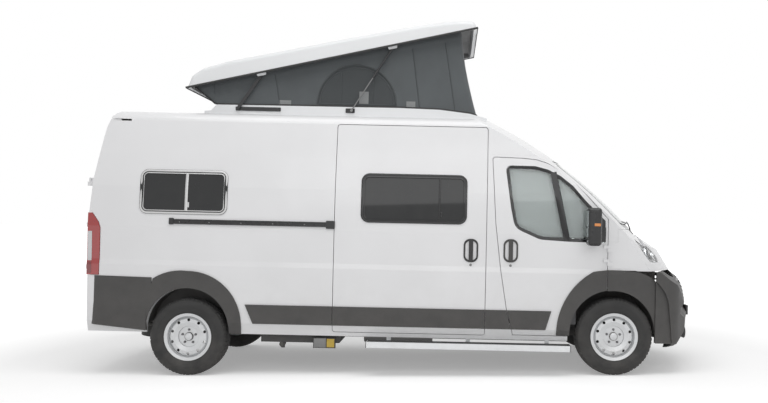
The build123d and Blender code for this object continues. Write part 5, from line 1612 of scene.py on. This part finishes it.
def floor_material(colour):
    """White where it is seen unshaded, fading to the plain backdrop away from the van; it keeps the shadow."""
    mat, tree, bsdf = shader("Pale floor", Roughness=0.9)
    bsdf.inputs["Specular IOR Level"].default_value = 0.0
    grain = group_node(tree, "Mottle", Colour=(*colour, 1), Shade=(*(c * 0.99 for c in colour), 1), Scale=0.6,
                       Gloss_low=0.85, Gloss_high=0.95)
    tree.links.new(grain.outputs["Colour"], bsdf.inputs["Base Color"])
    place = tree.nodes.new("ShaderNodeTexCoord")
    away = tree.nodes.new("ShaderNodeVectorMath")
    away.operation = "LENGTH"
    tree.links.new(place.outputs["Object"], away.inputs[0])
    glow = ramp_value(tree, away.outputs["Value"], 4.0, 9.0, 0.3, 1.0)
    bsdf.inputs["Emission Color"].default_value = (1, 1, 1, 1)
    tree.links.new(math(tree, "MULTIPLY", glow, seen_rays(tree)), bsdf.inputs["Emission Strength"])
    return mat


class CAMPER_OT_stage(bpy.types.Operator):
    """Sets up the pale floor, the soft lights and the camera"""
    bl_idname = "camper.stage"
    bl_label = "Stage"

    def execute(self, context):
        scene = context.scene
        scene.view_settings.view_transform = "Standard"
        finish = scene.camper_finish
        bm = bmesh.new()
        bmesh.ops.create_grid(bm, x_segments=1, y_segments=1, size=400)
        floor_mesh = bpy.data.meshes.new("Floor")
        bm.to_mesh(floor_mesh)
        bm.free()
        floor = bpy.data.objects.new("Floor", floor_mesh)
        scene.collection.objects.link(floor)
        floor_mesh.materials.append(floor_material((0.93, 0.93, 0.93)))
        world = bpy.data.worlds.new("Studio")
        scene.world = world
        world.use_nodes = True
        tree = world.node_tree
        background = tree.nodes["Background"]
        background.inputs["Color"].default_value = (1, 1, 1, 1)
        strength = ramp_value(tree, seen_rays(tree), 0.0, 1.0, finish.fill_light, 1.0)
        tree.links.new(strength, background.inputs["Strength"])
        lamp("Overhead softbox", (0.5, -3.5, 8.0), (0.0, 0.0, 1.0), (9.0, 4.5), finish.key_light)
        lamp("Side softbox", (1.5, -9.5, 4.5), (0.0, 0.0, 1.2), (9.0, 3.0), finish.key_light * 0.35)
        camera_data = bpy.data.cameras.new("Camera")
        camera = bpy.data.objects.new("Camera", camera_data)
        scene.collection.objects.link(camera)
        camera.location = (0.498, -9.0, 1.454)
        camera.rotation_euler = (radians(90), 0, 0)
        camera_data.sensor_width = 36.0
        camera_data.lens = 39.64
        camera_data.shift_x = -0.0859
        camera_data.shift_y = 0.0267
        scene.camera = camera
        return {"FINISHED"}


class CAMPER_PT_panel(bpy.types.Panel):
    """Camper van pieces"""
    bl_label = "Camper van"
    bl_idname = "CAMPER_PT_panel"
    bl_space_type = "VIEW_3D"
    bl_region_type = "UI"
    bl_category = "Camper van"

    def draw(self, context):
        for step in STEPS:
            self.layout.operator(step.bl_idname)


STEPS = (CAMPER_OT_finishes, CAMPER_OT_tent, CAMPER_OT_lid_trim, CAMPER_OT_side_windows, CAMPER_OT_body_side,
         CAMPER_OT_cab_windows, CAMPER_OT_lamps, CAMPER_OT_tyres, CAMPER_OT_wheel_trim, CAMPER_OT_front_end,
         CAMPER_OT_tail_end, CAMPER_OT_underside, CAMPER_OT_seats, CAMPER_OT_cab, CAMPER_OT_living, CAMPER_OT_stage)
CLASSES = (CamperFinish, *STEPS, CAMPER_PT_panel)


def register():
    for item in CLASSES:
        bpy.utils.register_class(item)
    bpy.types.Scene.camper_finish = PointerProperty(type=CamperFinish)


def unregister():
    del bpy.types.Scene.camper_finish
    for item in reversed(CLASSES):
        bpy.utils.unregister_class(item)


def main():
    register()
    for step in STEPS:
        group, name = step.bl_idname.split(".")
        getattr(getattr(bpy.ops, group), name)()


if __name__ == "__main__":
    main()
